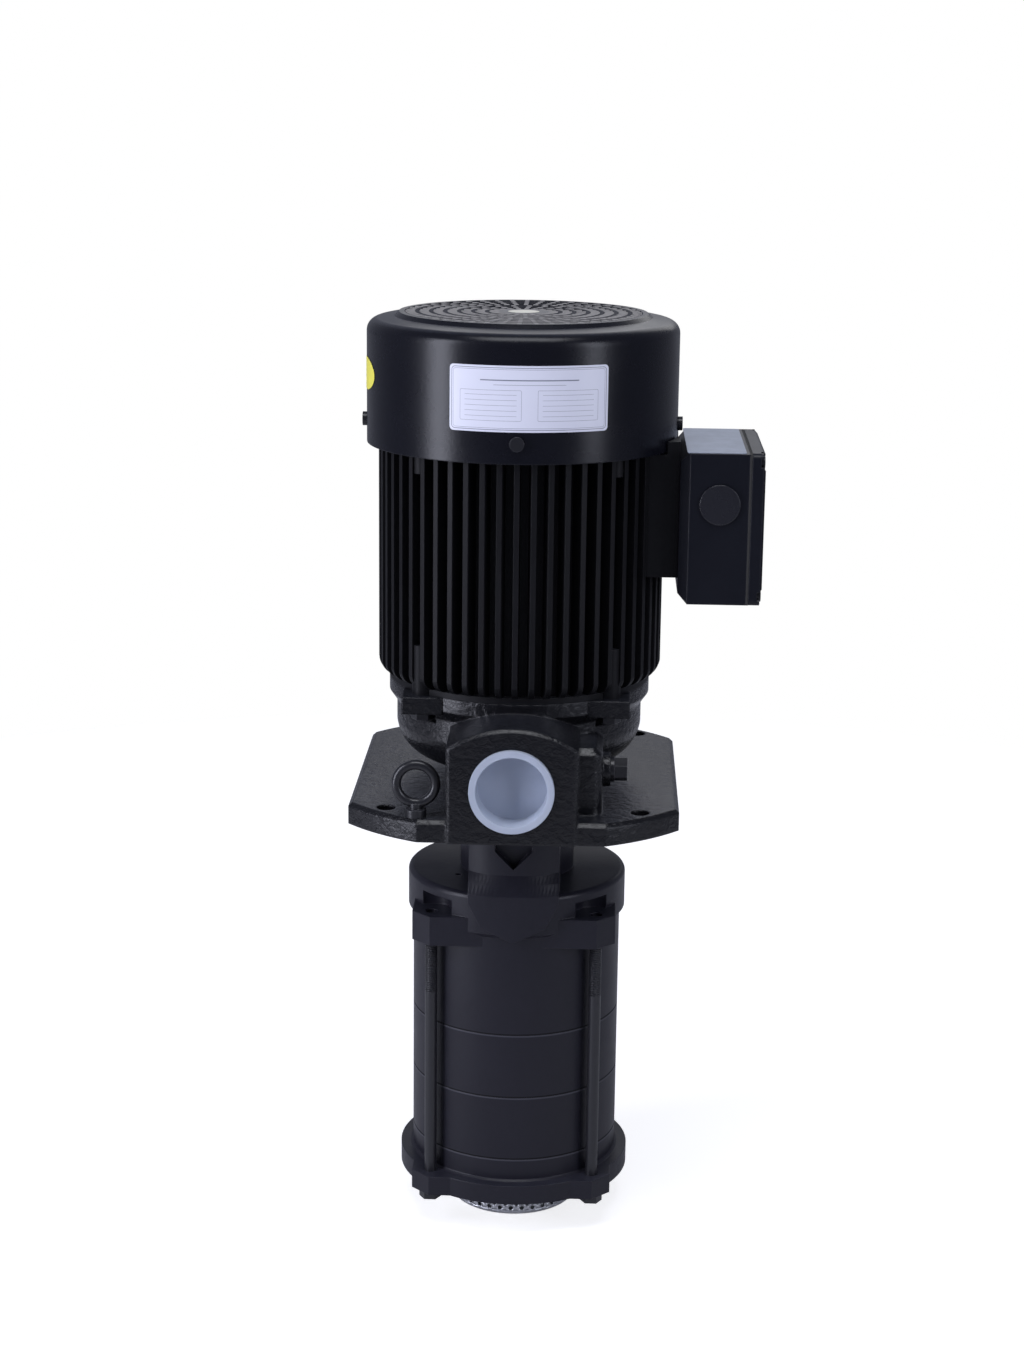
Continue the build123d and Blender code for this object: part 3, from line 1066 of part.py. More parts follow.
def box_screws():
    seat = BOX_INNER_X + BOX_WALL
    heads = box_screw_places(SMALL_SCREW_HEAD, seat, seat + SMALL_SCREW_HEAD_HEIGHT)
    shanks = box_screw_places(SMALL_SCREW, BOX_INNER_X - SMALL_SCREW_LENGTH, seat)
    return [head + shank for head, shank in zip(heads, shanks)]


def box_gasket():
    outside = block((BOX_OUTER_X, BOX_OUTER_X + SEAL_SHEET), (-BOX_HALF_Y, BOX_HALF_Y), (BOX_BOTTOM, BOX_TOP))
    wide = LID_SCREW_INSET + BOX_POST_RADIUS
    inside = block((BOX_OUTER_X, BOX_OUTER_X + SEAL_SHEET), (-BOX_HALF_Y + wide, BOX_HALF_Y - wide),
                   (BOX_BOTTOM + wide, BOX_TOP - wide))
    holes = [along_x(LID_SCREW + GAP, BOX_OUTER_X, BOX_OUTER_X + SEAL_SHEET, y, z)
             for y, z in lid_screw_places()]
    return outside - inside - holes


def box_lid():
    """Lid with a screw recess in each corner."""
    low = BOX_OUTER_X + SEAL_SHEET
    high = low + LID_THICK
    reach = BOX_HALF_Y + LID_OVERHANG
    lid = block((low, high), (-reach, reach), (BOX_BOTTOM - LID_OVERHANG, BOX_TOP + LID_OVERHANG))
    lid = fillet(lid.edges().filter_by(Axis.X), LID_CORNER)
    lid = chamfer(lid.faces().sort_by(Axis.X)[-1].edges(), LID_EDGE)
    hollow = block((low, high - BOX_WALL), (-reach + LID_RIM, reach - LID_RIM),
                   (BOX_BOTTOM + LID_RIM, BOX_TOP - LID_RIM))
    recesses = [along_x(LID_RECESS_RADIUS, high - LID_RECESS, high, y, z) for y, z in lid_screw_places()]
    holes = [along_x(LID_SCREW + GAP, low, high, y, z) for y, z in lid_screw_places()]
    return lid - hollow - recesses - holes


def lid_screws():
    seat = BOX_OUTER_X + SEAL_SHEET + LID_THICK - LID_RECESS
    tip = BOX_OUTER_X - LID_SCREW_LENGTH
    screws = []
    for y, z in lid_screw_places():
        head = along_x(LID_SCREW_HEAD, seat, seat + LID_SCREW_HEAD_HEIGHT, y, z)
        screws.append(head + along_x(LID_SCREW, tip, seat, y, z))
    return screws


def entry_plug():
    """Blanking plug in the cable entry."""
    front = -BOX_HALF_Y
    head = along_y(ENTRY_HEAD_RADIUS, front - ENTRY_HEAD_THICK, front, ENTRY_X, ENTRY_Z)
    return head + along_y(ENTRY_HOLE_RADIUS, front, front + ENTRY_LENGTH, ENTRY_X, ENTRY_Z)


def terminal_block():
    low = BOX_INNER_X + BOX_WALL
    half_wide, half_tall = TERMINAL_BLOCK_WIDTH / 2, TERMINAL_BLOCK_TALL / 2
    return block((low, low + TERMINAL_BLOCK_THICK), (-half_wide, half_wide),
                 (TERMINAL_BLOCK_Z - half_tall, TERMINAL_BLOCK_Z + half_tall))


def terminal_studs():
    """Six studs with nuts on the terminal block."""
    low = BOX_INNER_X + BOX_WALL + TERMINAL_BLOCK_THICK
    studs = []
    for y in (-STUD_PITCH_Y, 0, STUD_PITCH_Y):
        for z in (TERMINAL_BLOCK_Z - STUD_PITCH_Z / 2, TERMINAL_BLOCK_Z + STUD_PITCH_Z / 2):
            nut = Pos(low, y, z) * Rot(0, 90, 0) * extrude(hexagon(STUD_NUT), STUD_NUT_THICK)
            studs.append(nut + along_x(STUD_RADIUS, low, low + STUD_LENGTH, y, z))
    return studs


# ---- write one STEP file for each node
def save(node, shape):
    pieces = shape if isinstance(shape, list) else [shape]
    solids = [solid for piece in pieces for solid in piece.solids()]
    export_step(Compound(solids) if len(solids) > 1 else solids[0], f"parts/{node}.step")


os.makedirs("parts", exist_ok=True)
upper_outer, upper_inner = bearing_rings(UPPER_SEAT_RADIUS, UPPER_BEARING_RADIUS, UPPER_BEARING_BOTTOM,
                                         UPPER_BEARING_WIDTH)
lower_outer, lower_inner = bearing_rings(LOWER_SEAT_RADIUS, LOWER_BEARING_RADIUS, LOWER_BEARING_BOTTOM,
                                         LOWER_BEARING_WIDTH)
save("mounting_bracket", mounting_bracket())
save("discharge_plug", discharge_plug())
save("lifting_eye", lifting_eye())
save("vent_plug", vent_plug())
save("column_gasket", column_gasket())
save("pump_column", pump_column())
save("column_bolts", column_bolts())
save("throttle_bush", throttle_bush())
for number, floor in enumerate(FLOORS[:-1], start=1):
    save(f"stage_ring_{number}", stage_ring(floor))
for number, floor in enumerate(FLOORS, start=1):
    save(f"wear_ring_{number}", wear_ring(floor))
for number, base in enumerate(IMPELLER_BASES, start=1):
    save(f"impeller_{number}", impeller(base))
    save(f"diffuser_{number}", diffuser(base))
save("spacer_sleeves", [spacer_sleeve(base) for base in IMPELLER_BASES[:-1]])
save("impeller_key", impeller_key())
save("impeller_washer", impeller_washer())
save("impeller_nut", impeller_nut())
save("suction_cover", suction_cover())
save("strainer", strainer())
save("strainer_screws", strainer_screws())
save("tie_bolts", tie_bolts())
save("main_shaft", main_shaft())
save("rotor_core", rotor_core())
save("rotor_end_rings", rotor_end_rings())
save("cooling_fan", cooling_fan())
save("fan_clip", fan_clip())
save("upper_bearing_outer", upper_outer)
save("upper_bearing_inner", upper_inner)
save("lower_bearing_outer", lower_outer)
save("lower_bearing_inner", lower_inner)
save("preload_spring", preload_spring())
save("seal_seat", seal_seat())
save("seal_head", seal_head())
save("slinger", slinger())
save("motor_frame", motor_frame())
save("frame_bolts", frame_bolts())
save("stator_core", stator_core())
save("stator_windings", stator_windings())
save("end_shield", end_shield())
save("shield_screws", shield_screws())
save("fan_cover", fan_cover())
save("cover_screws", cover_screws())
save("terminal_box", terminal_box())
save("box_screws", box_screws())
save("box_gasket", box_gasket())
save("box_lid", box_lid())
save("lid_screws", lid_screws())
save("entry_plug", entry_plug())
save("terminal_block", terminal_block())
save("terminal_studs", terminal_studs())
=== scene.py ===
# The looks of a vertical multistage coolant pump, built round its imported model.
# Metres, +Z up along the shaft, z = 0 under the mounting flange, -Y towards the discharge port.
import bmesh
import bpy
from math import cos, pi, radians, sin, tau
from mathutils import Matrix, Vector


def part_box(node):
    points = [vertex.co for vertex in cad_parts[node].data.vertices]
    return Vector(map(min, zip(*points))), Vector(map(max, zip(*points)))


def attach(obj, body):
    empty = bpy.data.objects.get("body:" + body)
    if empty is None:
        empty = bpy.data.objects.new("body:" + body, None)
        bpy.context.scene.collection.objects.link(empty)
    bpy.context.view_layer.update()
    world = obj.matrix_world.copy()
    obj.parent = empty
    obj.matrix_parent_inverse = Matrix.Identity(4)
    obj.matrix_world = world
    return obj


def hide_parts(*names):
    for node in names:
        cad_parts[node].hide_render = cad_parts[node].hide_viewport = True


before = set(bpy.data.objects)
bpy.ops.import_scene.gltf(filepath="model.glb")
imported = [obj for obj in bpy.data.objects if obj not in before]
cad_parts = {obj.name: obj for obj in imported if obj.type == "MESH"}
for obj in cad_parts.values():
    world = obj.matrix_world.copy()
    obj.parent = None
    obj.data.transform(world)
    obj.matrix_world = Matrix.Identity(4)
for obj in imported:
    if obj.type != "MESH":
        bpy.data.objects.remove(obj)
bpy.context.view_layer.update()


# ---- Bracket casting
# One grey-iron casting carries the motor, the discharge port and the mounting flange.
# It is sand cast, so its skin is lumpy, and the thick gloss black paint follows every grain.
def add(tree, kind, settings=None, **sockets):
    """A node in a tree. A socket takes a value, or another node's output; _ stands for a space."""
    node = tree.nodes.new(kind)
    for key, value in (settings or {}).items():
        setattr(node, key, value)
    for key, value in sockets.items():
        socket = node.inputs[key.replace("_", " ")]
        if isinstance(value, bpy.types.NodeSocket):
            tree.links.new(value, socket)
        else:
            socket.default_value = value
    return node


def calc(tree, operation, *terms, clamp=False):
    """The result of one Math node."""
    node = tree.nodes.new("ShaderNodeMath")
    node.operation = operation
    node.use_clamp = clamp
    for socket, term in zip(node.inputs, terms):
        if isinstance(term, bpy.types.NodeSocket):
            tree.links.new(term, socket)
        else:
            socket.default_value = term
    return node.outputs[0]


def mixed(tree, share, first, second):
    """Two colours mixed by a share."""
    node = tree.nodes.new("ShaderNodeMix")
    node.data_type = "RGBA"
    for socket, term in zip((node.inputs[0], node.inputs[6], node.inputs[7]), (share, first, second)):
        if isinstance(term, bpy.types.NodeSocket):
            tree.links.new(term, socket)
        else:
            socket.default_value = term
    return node.outputs[2]


def start_effect(name, inputs, outputs):
    """An empty node group with its named sockets."""
    tree = bpy.data.node_groups.new(name, "ShaderNodeTree")
    for label, kind, value in inputs:
        tree.interface.new_socket(label, in_out="INPUT", socket_type=kind).default_value = value
    for label, kind in outputs:
        tree.interface.new_socket(label, in_out="OUTPUT", socket_type=kind)
    return tree, tree.nodes.new("NodeGroupInput").outputs, tree.nodes.new("NodeGroupOutput").inputs


def place(tree, effect, **values):
    """An effect in a material's tree, with the material's own values."""
    node = tree.nodes.new("ShaderNodeGroup")
    node.node_tree = effect
    for key, value in values.items():
        socket = node.inputs[key.replace("_", " ")]
        if isinstance(value, bpy.types.NodeSocket):
            tree.links.new(value, socket)
        else:
            socket.default_value = value
    return node.outputs


VALUE, COLOUR, VECTOR = "NodeSocketFloat", "NodeSocketColor", "NodeSocketVector"

# Lumps and sand grit of a cast surface, as a height in metres and a slow mottle.
casting_skin, given, result = start_effect(
    "casting_skin",
    [("Lump Scale", VALUE, 200), ("Lump Height", VALUE, 0.0002), ("Grit Scale", VALUE, 900),
     ("Grit Height", VALUE, 0.00005)],
    [("Height", VALUE), ("Mottle", VALUE)])
spot = add(casting_skin, "ShaderNodeTexCoord").outputs["Object"]
lumps = add(casting_skin, "ShaderNodeTexNoise", Vector=spot, Scale=given["Lump Scale"], Detail=2.0,
            Roughness=0.5, Distortion=0.4).outputs[0]
grit = add(casting_skin, "ShaderNodeTexNoise", Vector=spot, Scale=given["Grit Scale"], Detail=3.0,
           Roughness=0.6).outputs[0]
slow = add(casting_skin, "ShaderNodeTexNoise", Vector=spot, Scale=28.0, Detail=4.0, Roughness=0.6).outputs[0]
lump_height = calc(casting_skin, "MULTIPLY", lumps, given["Lump Height"])
casting_skin.links.new(calc(casting_skin, "MULTIPLY_ADD", grit, given["Grit Height"], lump_height),
                       result["Height"])
casting_skin.links.new(slow, result["Mottle"])

# Rounding of the edges, and a mask that is 1 on them.
soft_edge, given, result = start_effect("soft_edge", [("Radius", VALUE, 0.001)],
                                        [("Normal", VECTOR), ("Edge", VALUE)])
rounded = add(soft_edge, "ShaderNodeBevel", {"samples": 6}, Radius=given["Radius"]).outputs[0]
flat = add(soft_edge, "ShaderNodeNewGeometry").outputs["Normal"]
turn = add(soft_edge, "ShaderNodeVectorMath", {"operation": "DOT_PRODUCT"})
soft_edge.links.new(rounded, turn.inputs[0])
soft_edge.links.new(flat, turn.inputs[1])
soft_edge.links.new(rounded, result["Normal"])
soft_edge.links.new(calc(soft_edge, "MULTIPLY", calc(soft_edge, "SUBTRACT", 1.0, turn.outputs["Value"]), 6.0,
                         clamp=True), result["Edge"])

# Paint that varies a little in colour and gloss, is thinner on edges, and on top faces gathers dust with a
# painted bluish sheen.
paint_film, given, result = start_effect(
    "paint_film",
    [("Paint", COLOUR, (0.02, 0.02, 0.02, 1)), ("Rough", VALUE, 0.35), ("Variation", VALUE, 0.15),
     ("Mottle", VALUE, 0.5), ("Edge", VALUE, 0.0), ("Edge Colour", COLOUR, (0.1, 0.1, 0.11, 1)),
     ("Edge Wear", VALUE, 0.2), ("Dust", VALUE, 0.1)],
    [("Colour", COLOUR), ("Roughness", VALUE)])
spot = add(paint_film, "ShaderNodeTexCoord").outputs["Object"]
chips = add(paint_film, "ShaderNodeTexNoise", Vector=spot, Scale=420.0, Detail=3.0, Roughness=0.7).outputs[0]
worn_edge = calc(paint_film, "MULTIPLY", given["Edge"], given["Edge Wear"])
chip_spread = calc(paint_film, "SMOOTH_MIN", calc(paint_film, "MULTIPLY", chips, 1.6), 1.0, 0.2)
chip_mask = calc(paint_film, "MULTIPLY", worn_edge, chip_spread, clamp=True)
up = add(paint_film, "ShaderNodeSeparateXYZ",
         Vector=add(paint_film, "ShaderNodeNewGeometry").outputs["Normal"]).outputs["Z"]
film = add(paint_film, "ShaderNodeTexNoise", Vector=spot, Scale=90.0, Detail=5.0, Roughness=0.65).outputs[0]
# Up-facing faces turn pale bluish: partly dust, partly a painted sheen for the light these faces reflect.
dust_and_sheen_mask = calc(paint_film, "MULTIPLY", calc(paint_film, "MULTIPLY", given["Dust"], film),
                 calc(paint_film, "MULTIPLY_ADD", up, 4.0, -3.0, clamp=True), clamp=True)
shade = calc(paint_film, "MULTIPLY_ADD", calc(paint_film, "SUBTRACT", given["Mottle"], 0.5),
             given["Variation"], 1.0)
toned = add(paint_film, "ShaderNodeVectorMath", {"operation": "SCALE"})
paint_film.links.new(given["Paint"], toned.inputs[0])
paint_film.links.new(shade, toned.inputs["Scale"])
worn = mixed(paint_film, chip_mask, toned.outputs[0], given["Edge Colour"])
# Top faces mixed towards a pale blue-grey: dust, and a painted sheen.
paint_film.links.new(mixed(paint_film, dust_and_sheen_mask, worn, (0.27, 0.29, 0.37, 1)), result["Colour"])
gloss = calc(paint_film, "MULTIPLY_ADD", calc(paint_film, "SUBTRACT", given["Mottle"], 0.5),
             calc(paint_film, "MULTIPLY", given["Variation"], 0.5), given["Rough"])
paint_film.links.new(calc(paint_film, "MULTIPLY_ADD", dust_and_sheen_mask, 0.5, gloss, clamp=True), result["Roughness"])


def new_finish(name):
    """An empty material with its Principled shader."""
    finish = bpy.data.materials.new(name)
    finish.use_nodes = True
    return finish, finish.node_tree, finish.node_tree.nodes["Principled BSDF"]


def painted(name, paint, rough, specular, coat, radius, skin, wear=0.2, dust_and_sheen=0.1, variation=0.2,
            edge_colour=(0.10, 0.10, 0.11, 1)):
    """Paint on a cast or pressed skin: lump scale, lump height, grit scale and grit height."""
    finish, tree, shader = new_finish(name)
    edge = place(tree, soft_edge, Radius=radius)
    cast = place(tree, casting_skin, Lump_Scale=skin[0], Lump_Height=skin[1], Grit_Scale=skin[2],
                 Grit_Height=skin[3])
    film = place(tree, paint_film, Paint=paint, Rough=rough, Variation=variation, Mottle=cast["Mottle"],
                 Edge=edge["Edge"], Edge_Colour=edge_colour, Edge_Wear=wear, Dust=dust_and_sheen)
    bump = add(tree, "ShaderNodeBump", Distance=1.0, Height=cast["Height"], Normal=edge["Normal"])
    tree.links.new(film["Colour"], shader.inputs["Base Color"])
    tree.links.new(film["Roughness"], shader.inputs["Roughness"])
    tree.links.new(bump.outputs[0], shader.inputs["Normal"])
    shader.inputs["Specular IOR Level"].default_value = specular
    shader.inputs["Coat Weight"].default_value = coat
    shader.inputs["Coat Roughness"].default_value = 0.12
    return finish


def dress(finish, *names):
    """Gives CAD nodes their finish."""
    for name in names:
        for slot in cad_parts[name].material_slots:
            slot.material = finish


bracket_paint = painted("bracket_gloss_black", (0.0048, 0.0048, 0.0058, 1), 0.20, 0.32, 0.10, 0.0022,
                        (230, 0.00075, 950, 0.00024), wear=0.06, dust_and_sheen=0.08, variation=0.5)
dress(bracket_paint, "mounting_bracket")


# ---- Discharge plug
# Thin milky plastic cap, injection moulded, pushed into the port's thread for transport.
plug_milk, tree, shader = new_finish("plug_milky_plastic")
edge = place(tree, soft_edge, Radius=0.0008)
cloud = place(tree, casting_skin, Lump_Scale=60, Lump_Height=0.00008, Grit_Scale=700, Grit_Height=0.00001)
milk = mixed(tree, cloud["Mottle"], (0.50, 0.56, 0.68, 1), (0.68, 0.74, 0.85, 1))
tree.links.new(milk, shader.inputs["Base Color"])
tree.links.new(calc(tree, "MULTIPLY_ADD", cloud["Mottle"], 0.12, 0.24), shader.inputs["Roughness"])
tree.links.new(add(tree, "ShaderNodeBump", Distance=1.0, Height=cloud["Height"],
                   Normal=edge["Normal"]).outputs[0], shader.inputs["Normal"])
shader.inputs["Transmission Weight"].default_value = 0.35
shader.inputs["IOR"].default_value = 1.45
dress(plug_milk, "discharge_plug")


# ---- Black steel fasteners
# Eye bolt, vent plug, tie bolts, frame bolts and cover screws: blackened steel, slightly oily.
# The tie bolts are threaded where they enter the square flange of the column.
screw_thread, given, result = start_effect(
    "screw_thread", [("Pitch", VALUE, 0.00125), ("Depth", VALUE, 0.0004), ("Low", VALUE, -1.0),
                     ("High", VALUE, 1.0)], [("Height", VALUE), ("Mask", VALUE)])
height = add(screw_thread, "ShaderNodeSeparateXYZ",
             Vector=add(screw_thread, "ShaderNodeTexCoord").outputs["Object"]).outputs["Z"]
inside = calc(screw_thread, "MULTIPLY", calc(screw_thread, "GREATER_THAN", height, given["Low"]),
              calc(screw_thread, "LESS_THAN", height, given["High"]))
wave = calc(screw_thread, "PINGPONG", height, calc(screw_thread, "MULTIPLY", given["Pitch"], 0.5))
crest = calc(screw_thread, "DIVIDE", wave, calc(screw_thread, "MULTIPLY", given["Pitch"], 0.5))
crest_height = calc(screw_thread, "MULTIPLY", crest, given["Depth"])
screw_thread.links.new(calc(screw_thread, "MULTIPLY", crest_height, inside), result["Height"])
screw_thread.links.new(inside, result["Mask"])

black_steel = painted("black_steel", (0.010, 0.010, 0.012, 1), 0.32, 0.4, 0.1, 0.0007,
                      (300, 0.00006, 1500, 0.00002), wear=0.35, dust_and_sheen=0.05)
dress(black_steel, "lifting_eye", "vent_plug", "frame_bolts", "column_bolts", "cover_screws", "lid_screws")

tie_steel, tree, shader = new_finish("tie_bolt_steel")
edge = place(tree, soft_edge, Radius=0.0005)
grain = place(tree, casting_skin, Lump_Scale=320, Lump_Height=0.00004, Grit_Scale=1500, Grit_Height=0.00002)
square_bottom = -0.0882
thread = place(tree, screw_thread, Pitch=0.00125, Depth=0.0005, Low=square_bottom - 0.036, High=square_bottom)
film = place(tree, paint_film, Paint=(0.014, 0.014, 0.017, 1), Rough=0.32, Variation=0.3,
             Mottle=grain["Mottle"], Edge=edge["Edge"], Edge_Wear=0.3, Dust=0.05)
tree.links.new(film["Colour"], shader.inputs["Base Color"])
tree.links.new(film["Roughness"], shader.inputs["Roughness"])
relief = calc(tree, "ADD", thread["Height"], grain["Height"])
tree.links.new(add(tree, "ShaderNodeBump", Distance=1.0, Height=relief, Normal=edge["Normal"]).outputs[0],
               shader.inputs["Normal"])
dress(tie_steel, "tie_bolts")


# ---- Pump column, stage rings and suction cover
# Fine castings, turned on their outsides, so their satin paint lies smooth with a cold blue cast.
column_paint = painted("column_satin_slate", (0.0115, 0.0110, 0.0170, 1), 0.38, 0.28, 0.0, 0.0009,
                       (260, 0.00006, 1100, 0.00002), wear=0.12, dust_and_sheen=0.08, variation=0.35)
# The joint between two stages: a dark gap, and under it a painted highlight along the lip's rounded edge.
stage_seams, given, result = start_effect(
    "stage_seams", [("Lowest", VALUE, -0.2365), ("Pitch", VALUE, 0.044), ("Count", VALUE, 3.0),
                    ("Width", VALUE, 0.0008)], [("Gap", VALUE), ("Lip_Highlight", VALUE)])
height = add(stage_seams, "ShaderNodeSeparateXYZ",
             Vector=add(stage_seams, "ShaderNodeTexCoord").outputs["Object"]).outputs["Z"]
step = calc(stage_seams, "DIVIDE", calc(stage_seams, "SUBTRACT", height, given["Lowest"]), given["Pitch"])
nearest = calc(stage_seams, "ROUND", step)
listed = calc(stage_seams, "MULTIPLY", calc(stage_seams, "GREATER_THAN", nearest, -0.5),
              calc(stage_seams, "LESS_THAN", nearest, calc(stage_seams, "SUBTRACT", given["Count"], 0.5)))
off = calc(stage_seams, "DIVIDE", calc(stage_seams, "MULTIPLY", calc(stage_seams, "SUBTRACT", step, nearest),
                                       given["Pitch"]), given["Width"])
from_gap = calc(stage_seams, "ABSOLUTE", calc(stage_seams, "SUBTRACT", off, 0.6))
from_lip_highlight = calc(stage_seams, "ABSOLUTE", calc(stage_seams, "ADD", off, 0.8))
gap = calc(stage_seams, "SUBTRACT", 1.0, from_gap, clamp=True)
lip_highlight = calc(stage_seams, "SUBTRACT", 1.0, from_lip_highlight, clamp=True)
stage_seams.links.new(calc(stage_seams, "MULTIPLY", gap, listed), result["Gap"])
stage_seams.links.new(calc(stage_seams, "MULTIPLY", lip_highlight, listed), result["Lip_Highlight"])

tree = column_paint.node_tree
shader = tree.nodes["Principled BSDF"]
paint = shader.inputs["Base Color"].links[0].from_socket
seams = place(tree, stage_seams)
# The pale band under each gap is a painted highlight of the lip's rounded edge.
lip_highlighted = mixed(tree, calc(tree, "MULTIPLY", seams["Lip_Highlight"], 0.5), paint, (0.10, 0.10, 0.12, 1))
tree.links.new(mixed(tree, seams["Gap"], lip_highlighted, (0.001, 0.001, 0.001, 1)), shader.inputs["Base Color"])
satin = shader.inputs["Roughness"].links[0].from_socket
tree.links.new(calc(tree, "MULTIPLY_ADD", seams["Gap"], 0.6, satin, clamp=True), shader.inputs["Roughness"])
dress(column_paint, "pump_column", "stage_ring_1", "stage_ring_2", "suction_cover", "diffuser_1",
      "diffuser_2", "diffuser_3")


def new_piece(name, mesh, finish, body, slot, *replaced):
    """A finished piece that rides on a body and stands for the CAD nodes it replaces."""
    piece = bpy.data.objects.new(name, mesh)
    bpy.context.scene.collection.objects.link(piece)
    mesh.materials.append(finish)
    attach(piece, body)
    if replaced:
        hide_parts(*replaced)
    return piece


def riser_front_mesh():
    """Front of the discharge riser, which stands just ahead of the chamber and ends in a blunt point."""
    wide = 0.0295
    form = bmesh.new()
    rows = []
    levels = ((-0.038, wide, 0.0), (-0.044, wide, 0.5), (-0.051, wide, 1.0), (-0.057, wide, 1.0),
              (-0.065, 0.0253, 1.0), (-0.073, 0.021, 1.0), (-0.0775, 0.0110, 1.0), (-0.0820, 0.0010, 1.0))
    for height, half, ahead in levels:
        row = [form.verts.new((-half, -0.060, height))]
        for step in range(25):
            x = half * (step / 12 - 1)
            share = (x / wide) ** 2
            plain, proud = 0.0706 - 0.0105 * share, 0.0752 - 0.0045 * share
            row.append(form.verts.new((x, -plain - (proud - plain) * ahead, height)))
        row.append(form.verts.new((half, -0.060, height)))
        rows.append(row)
    for low, high in zip(rows[1:], rows):
        for i in range(len(low) - 1):
            form.faces.new((low[i], low[i + 1], high[i + 1], high[i]))
    form.faces.new(rows[-1])
    mesh = bpy.data.meshes.new("riser_front")
    form.to_mesh(mesh)
    form.free()
    return mesh


new_piece("riser_front", riser_front_mesh(), column_paint, "pump_body", "pump_casting")


# ---- Strainer
# Cup of stainless sheet with staggered round holes, pressed and screwed under the suction cover.
def steel(name, tint, rough, fine, depth, axis):
    """Bright metal with fine lines that run round one axis."""
    finish, tree, shader = new_finish(name)
    spot = add(tree, "ShaderNodeTexCoord").outputs["Object"]
    stretch = [1.0, 1.0, 1.0]
    stretch["XYZ".index(axis)] = 40.0
    lines_at = add(tree, "ShaderNodeMapping", Vector=spot, Scale=stretch).outputs[0]
    lines = add(tree, "ShaderNodeTexNoise", Vector=lines_at, Scale=fine, Detail=3.0, Roughness=0.6).outputs[0]
    stain = add(tree, "ShaderNodeTexNoise", Vector=spot, Scale=70.0, Detail=4.0, Roughness=0.6).outputs[0]
    edge = place(tree, soft_edge, Radius=0.0003)
    dull = tuple(0.62 * part for part in tint[:3]) + (1,)
    tree.links.new(mixed(tree, stain, dull, tint), shader.inputs["Base Color"])
    tree.links.new(calc(tree, "MULTIPLY_ADD", lines, 0.18, rough), shader.inputs["Roughness"])
    tree.links.new(add(tree, "ShaderNodeBump", Distance=1.0, Height=calc(tree, "MULTIPLY", lines, depth),
                       Normal=edge["Normal"]).outputs[0], shader.inputs["Normal"])
    shader.inputs["Metallic"].default_value = 1.0
    return finish


def spun_sheet(form, profile, steps):
    """Quads from a profile of (radius, height) points turned round Z, and its last ring."""
    rows = []
    for radius, height in profile:
        rows.append([form.verts.new((radius * cos(tau * i / steps), radius * sin(tau * i / steps), height))
                     for i in range(steps)])
    for low, high in zip(rows, rows[1:]):
        for i in range(steps):
            j = (i + 1) % steps
            form.faces.new((low[i], low[j], high[j], high[i]))
    return rows


def strainer_cup():
    """Perforated wall of 6 close rows, a rounded foot, a flat floor and a screwed rim."""
    low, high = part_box("strainer")
    sheet = 0.001
    radius, rows, columns, hole, points = 0.0423, 6, 36, 0.00145, 14
    foot = 0.003
    wall_low, wall_high = low.z + sheet + foot, high.z - sheet - 0.0015
    row_height = (wall_high - wall_low) / rows
    form = bmesh.new()

    def on_wall(turn, height):
        return form.verts.new((radius * cos(turn), radius * sin(turn), height))

    for row in range(rows):
        for column in range(columns):
            middle = tau * (column + 0.5 * (row % 2)) / columns
            half_turn = pi / columns
            centre = wall_low + (row + 0.5) * row_height
            rim, cell = [], []
            for step in range(points):
                angle = tau * (step + 0.5) / points
                x, z = cos(angle), sin(angle)
                rim.append(on_wall(middle + hole * x / radius, centre + hole * z))
                reach = max(abs(x), abs(z))
                cell.append(on_wall(middle + half_turn * x / reach, centre + row_height / 2 * z / reach))
            for step in range(points):
                after = (step + 1) % points
                form.faces.new((cell[step], cell[after], rim[after], rim[step]))
    steps = 108
    bend = [(radius - foot * (1 - cos(a)), wall_low - foot * sin(a)) for a in (0, 0.4, 0.8, 1.2, pi / 2)]
    floor = spun_sheet(form, bend + [(0.03, low.z + sheet), (0.002, low.z + sheet)], steps)
    form.faces.new(floor[-1])
    spun_sheet(form, [(radius, wall_high), (radius + 0.0012, high.z - sheet), (0.0495, high.z - sheet),
                      (0.0500, high.z - sheet + 0.0004)], steps)
    bmesh.ops.remove_doubles(form, verts=form.verts, dist=0.00002)
    bmesh.ops.recalc_face_normals(form, faces=form.faces)
    mesh = bpy.data.meshes.new("strainer_cup")
    form.to_mesh(mesh)
    form.free()
    mesh.shade_smooth()
    return mesh


stainless = steel("stainless_sheet", (0.88, 0.89, 0.92, 1), 0.32, 60.0, 0.00002, "Z")
cup = new_piece("strainer_cup", strainer_cup(), stainless, "pump_body", "bright_steel", "strainer")
thickness = cup.modifiers.new("sheet", "SOLIDIFY")
thickness.thickness = 0.0009
thickness.offset = 1.0
dress(stainless, "strainer_screws", "shield_screws", "box_screws")


# ---- Shaft and what turns on it
# Turned steel shaft, laminated rotor with cast end rings, bronze impellers and a plastic fan.
turned_steel = steel("turned_steel", (0.66, 0.66, 0.67, 1), 0.18, 90.0, 0.00001, "Z")
lamination = steel("lamination_stack", (0.34, 0.34, 0.36, 1), 0.35, 260.0, 0.00006, "Z")
cast_aluminium = steel("cast_aluminium", (0.74, 0.75, 0.77, 1), 0.36, 40.0, 0.00004, "X")
bronze = steel("machined_bronze", (0.72, 0.50, 0.26, 1), 0.24, 80.0, 0.00002, "Z")
copper = steel("varnished_copper", (0.62, 0.25, 0.12, 1), 0.30, 30.0, 0.0003, "Z")
dress(turned_steel, "main_shaft", "spacer_sleeves", "impeller_key", "impeller_washer", "impeller_nut",
      "fan_clip", "upper_bearing_inner", "upper_bearing_outer", "lower_bearing_inner",
      "lower_bearing_outer", "preload_spring")
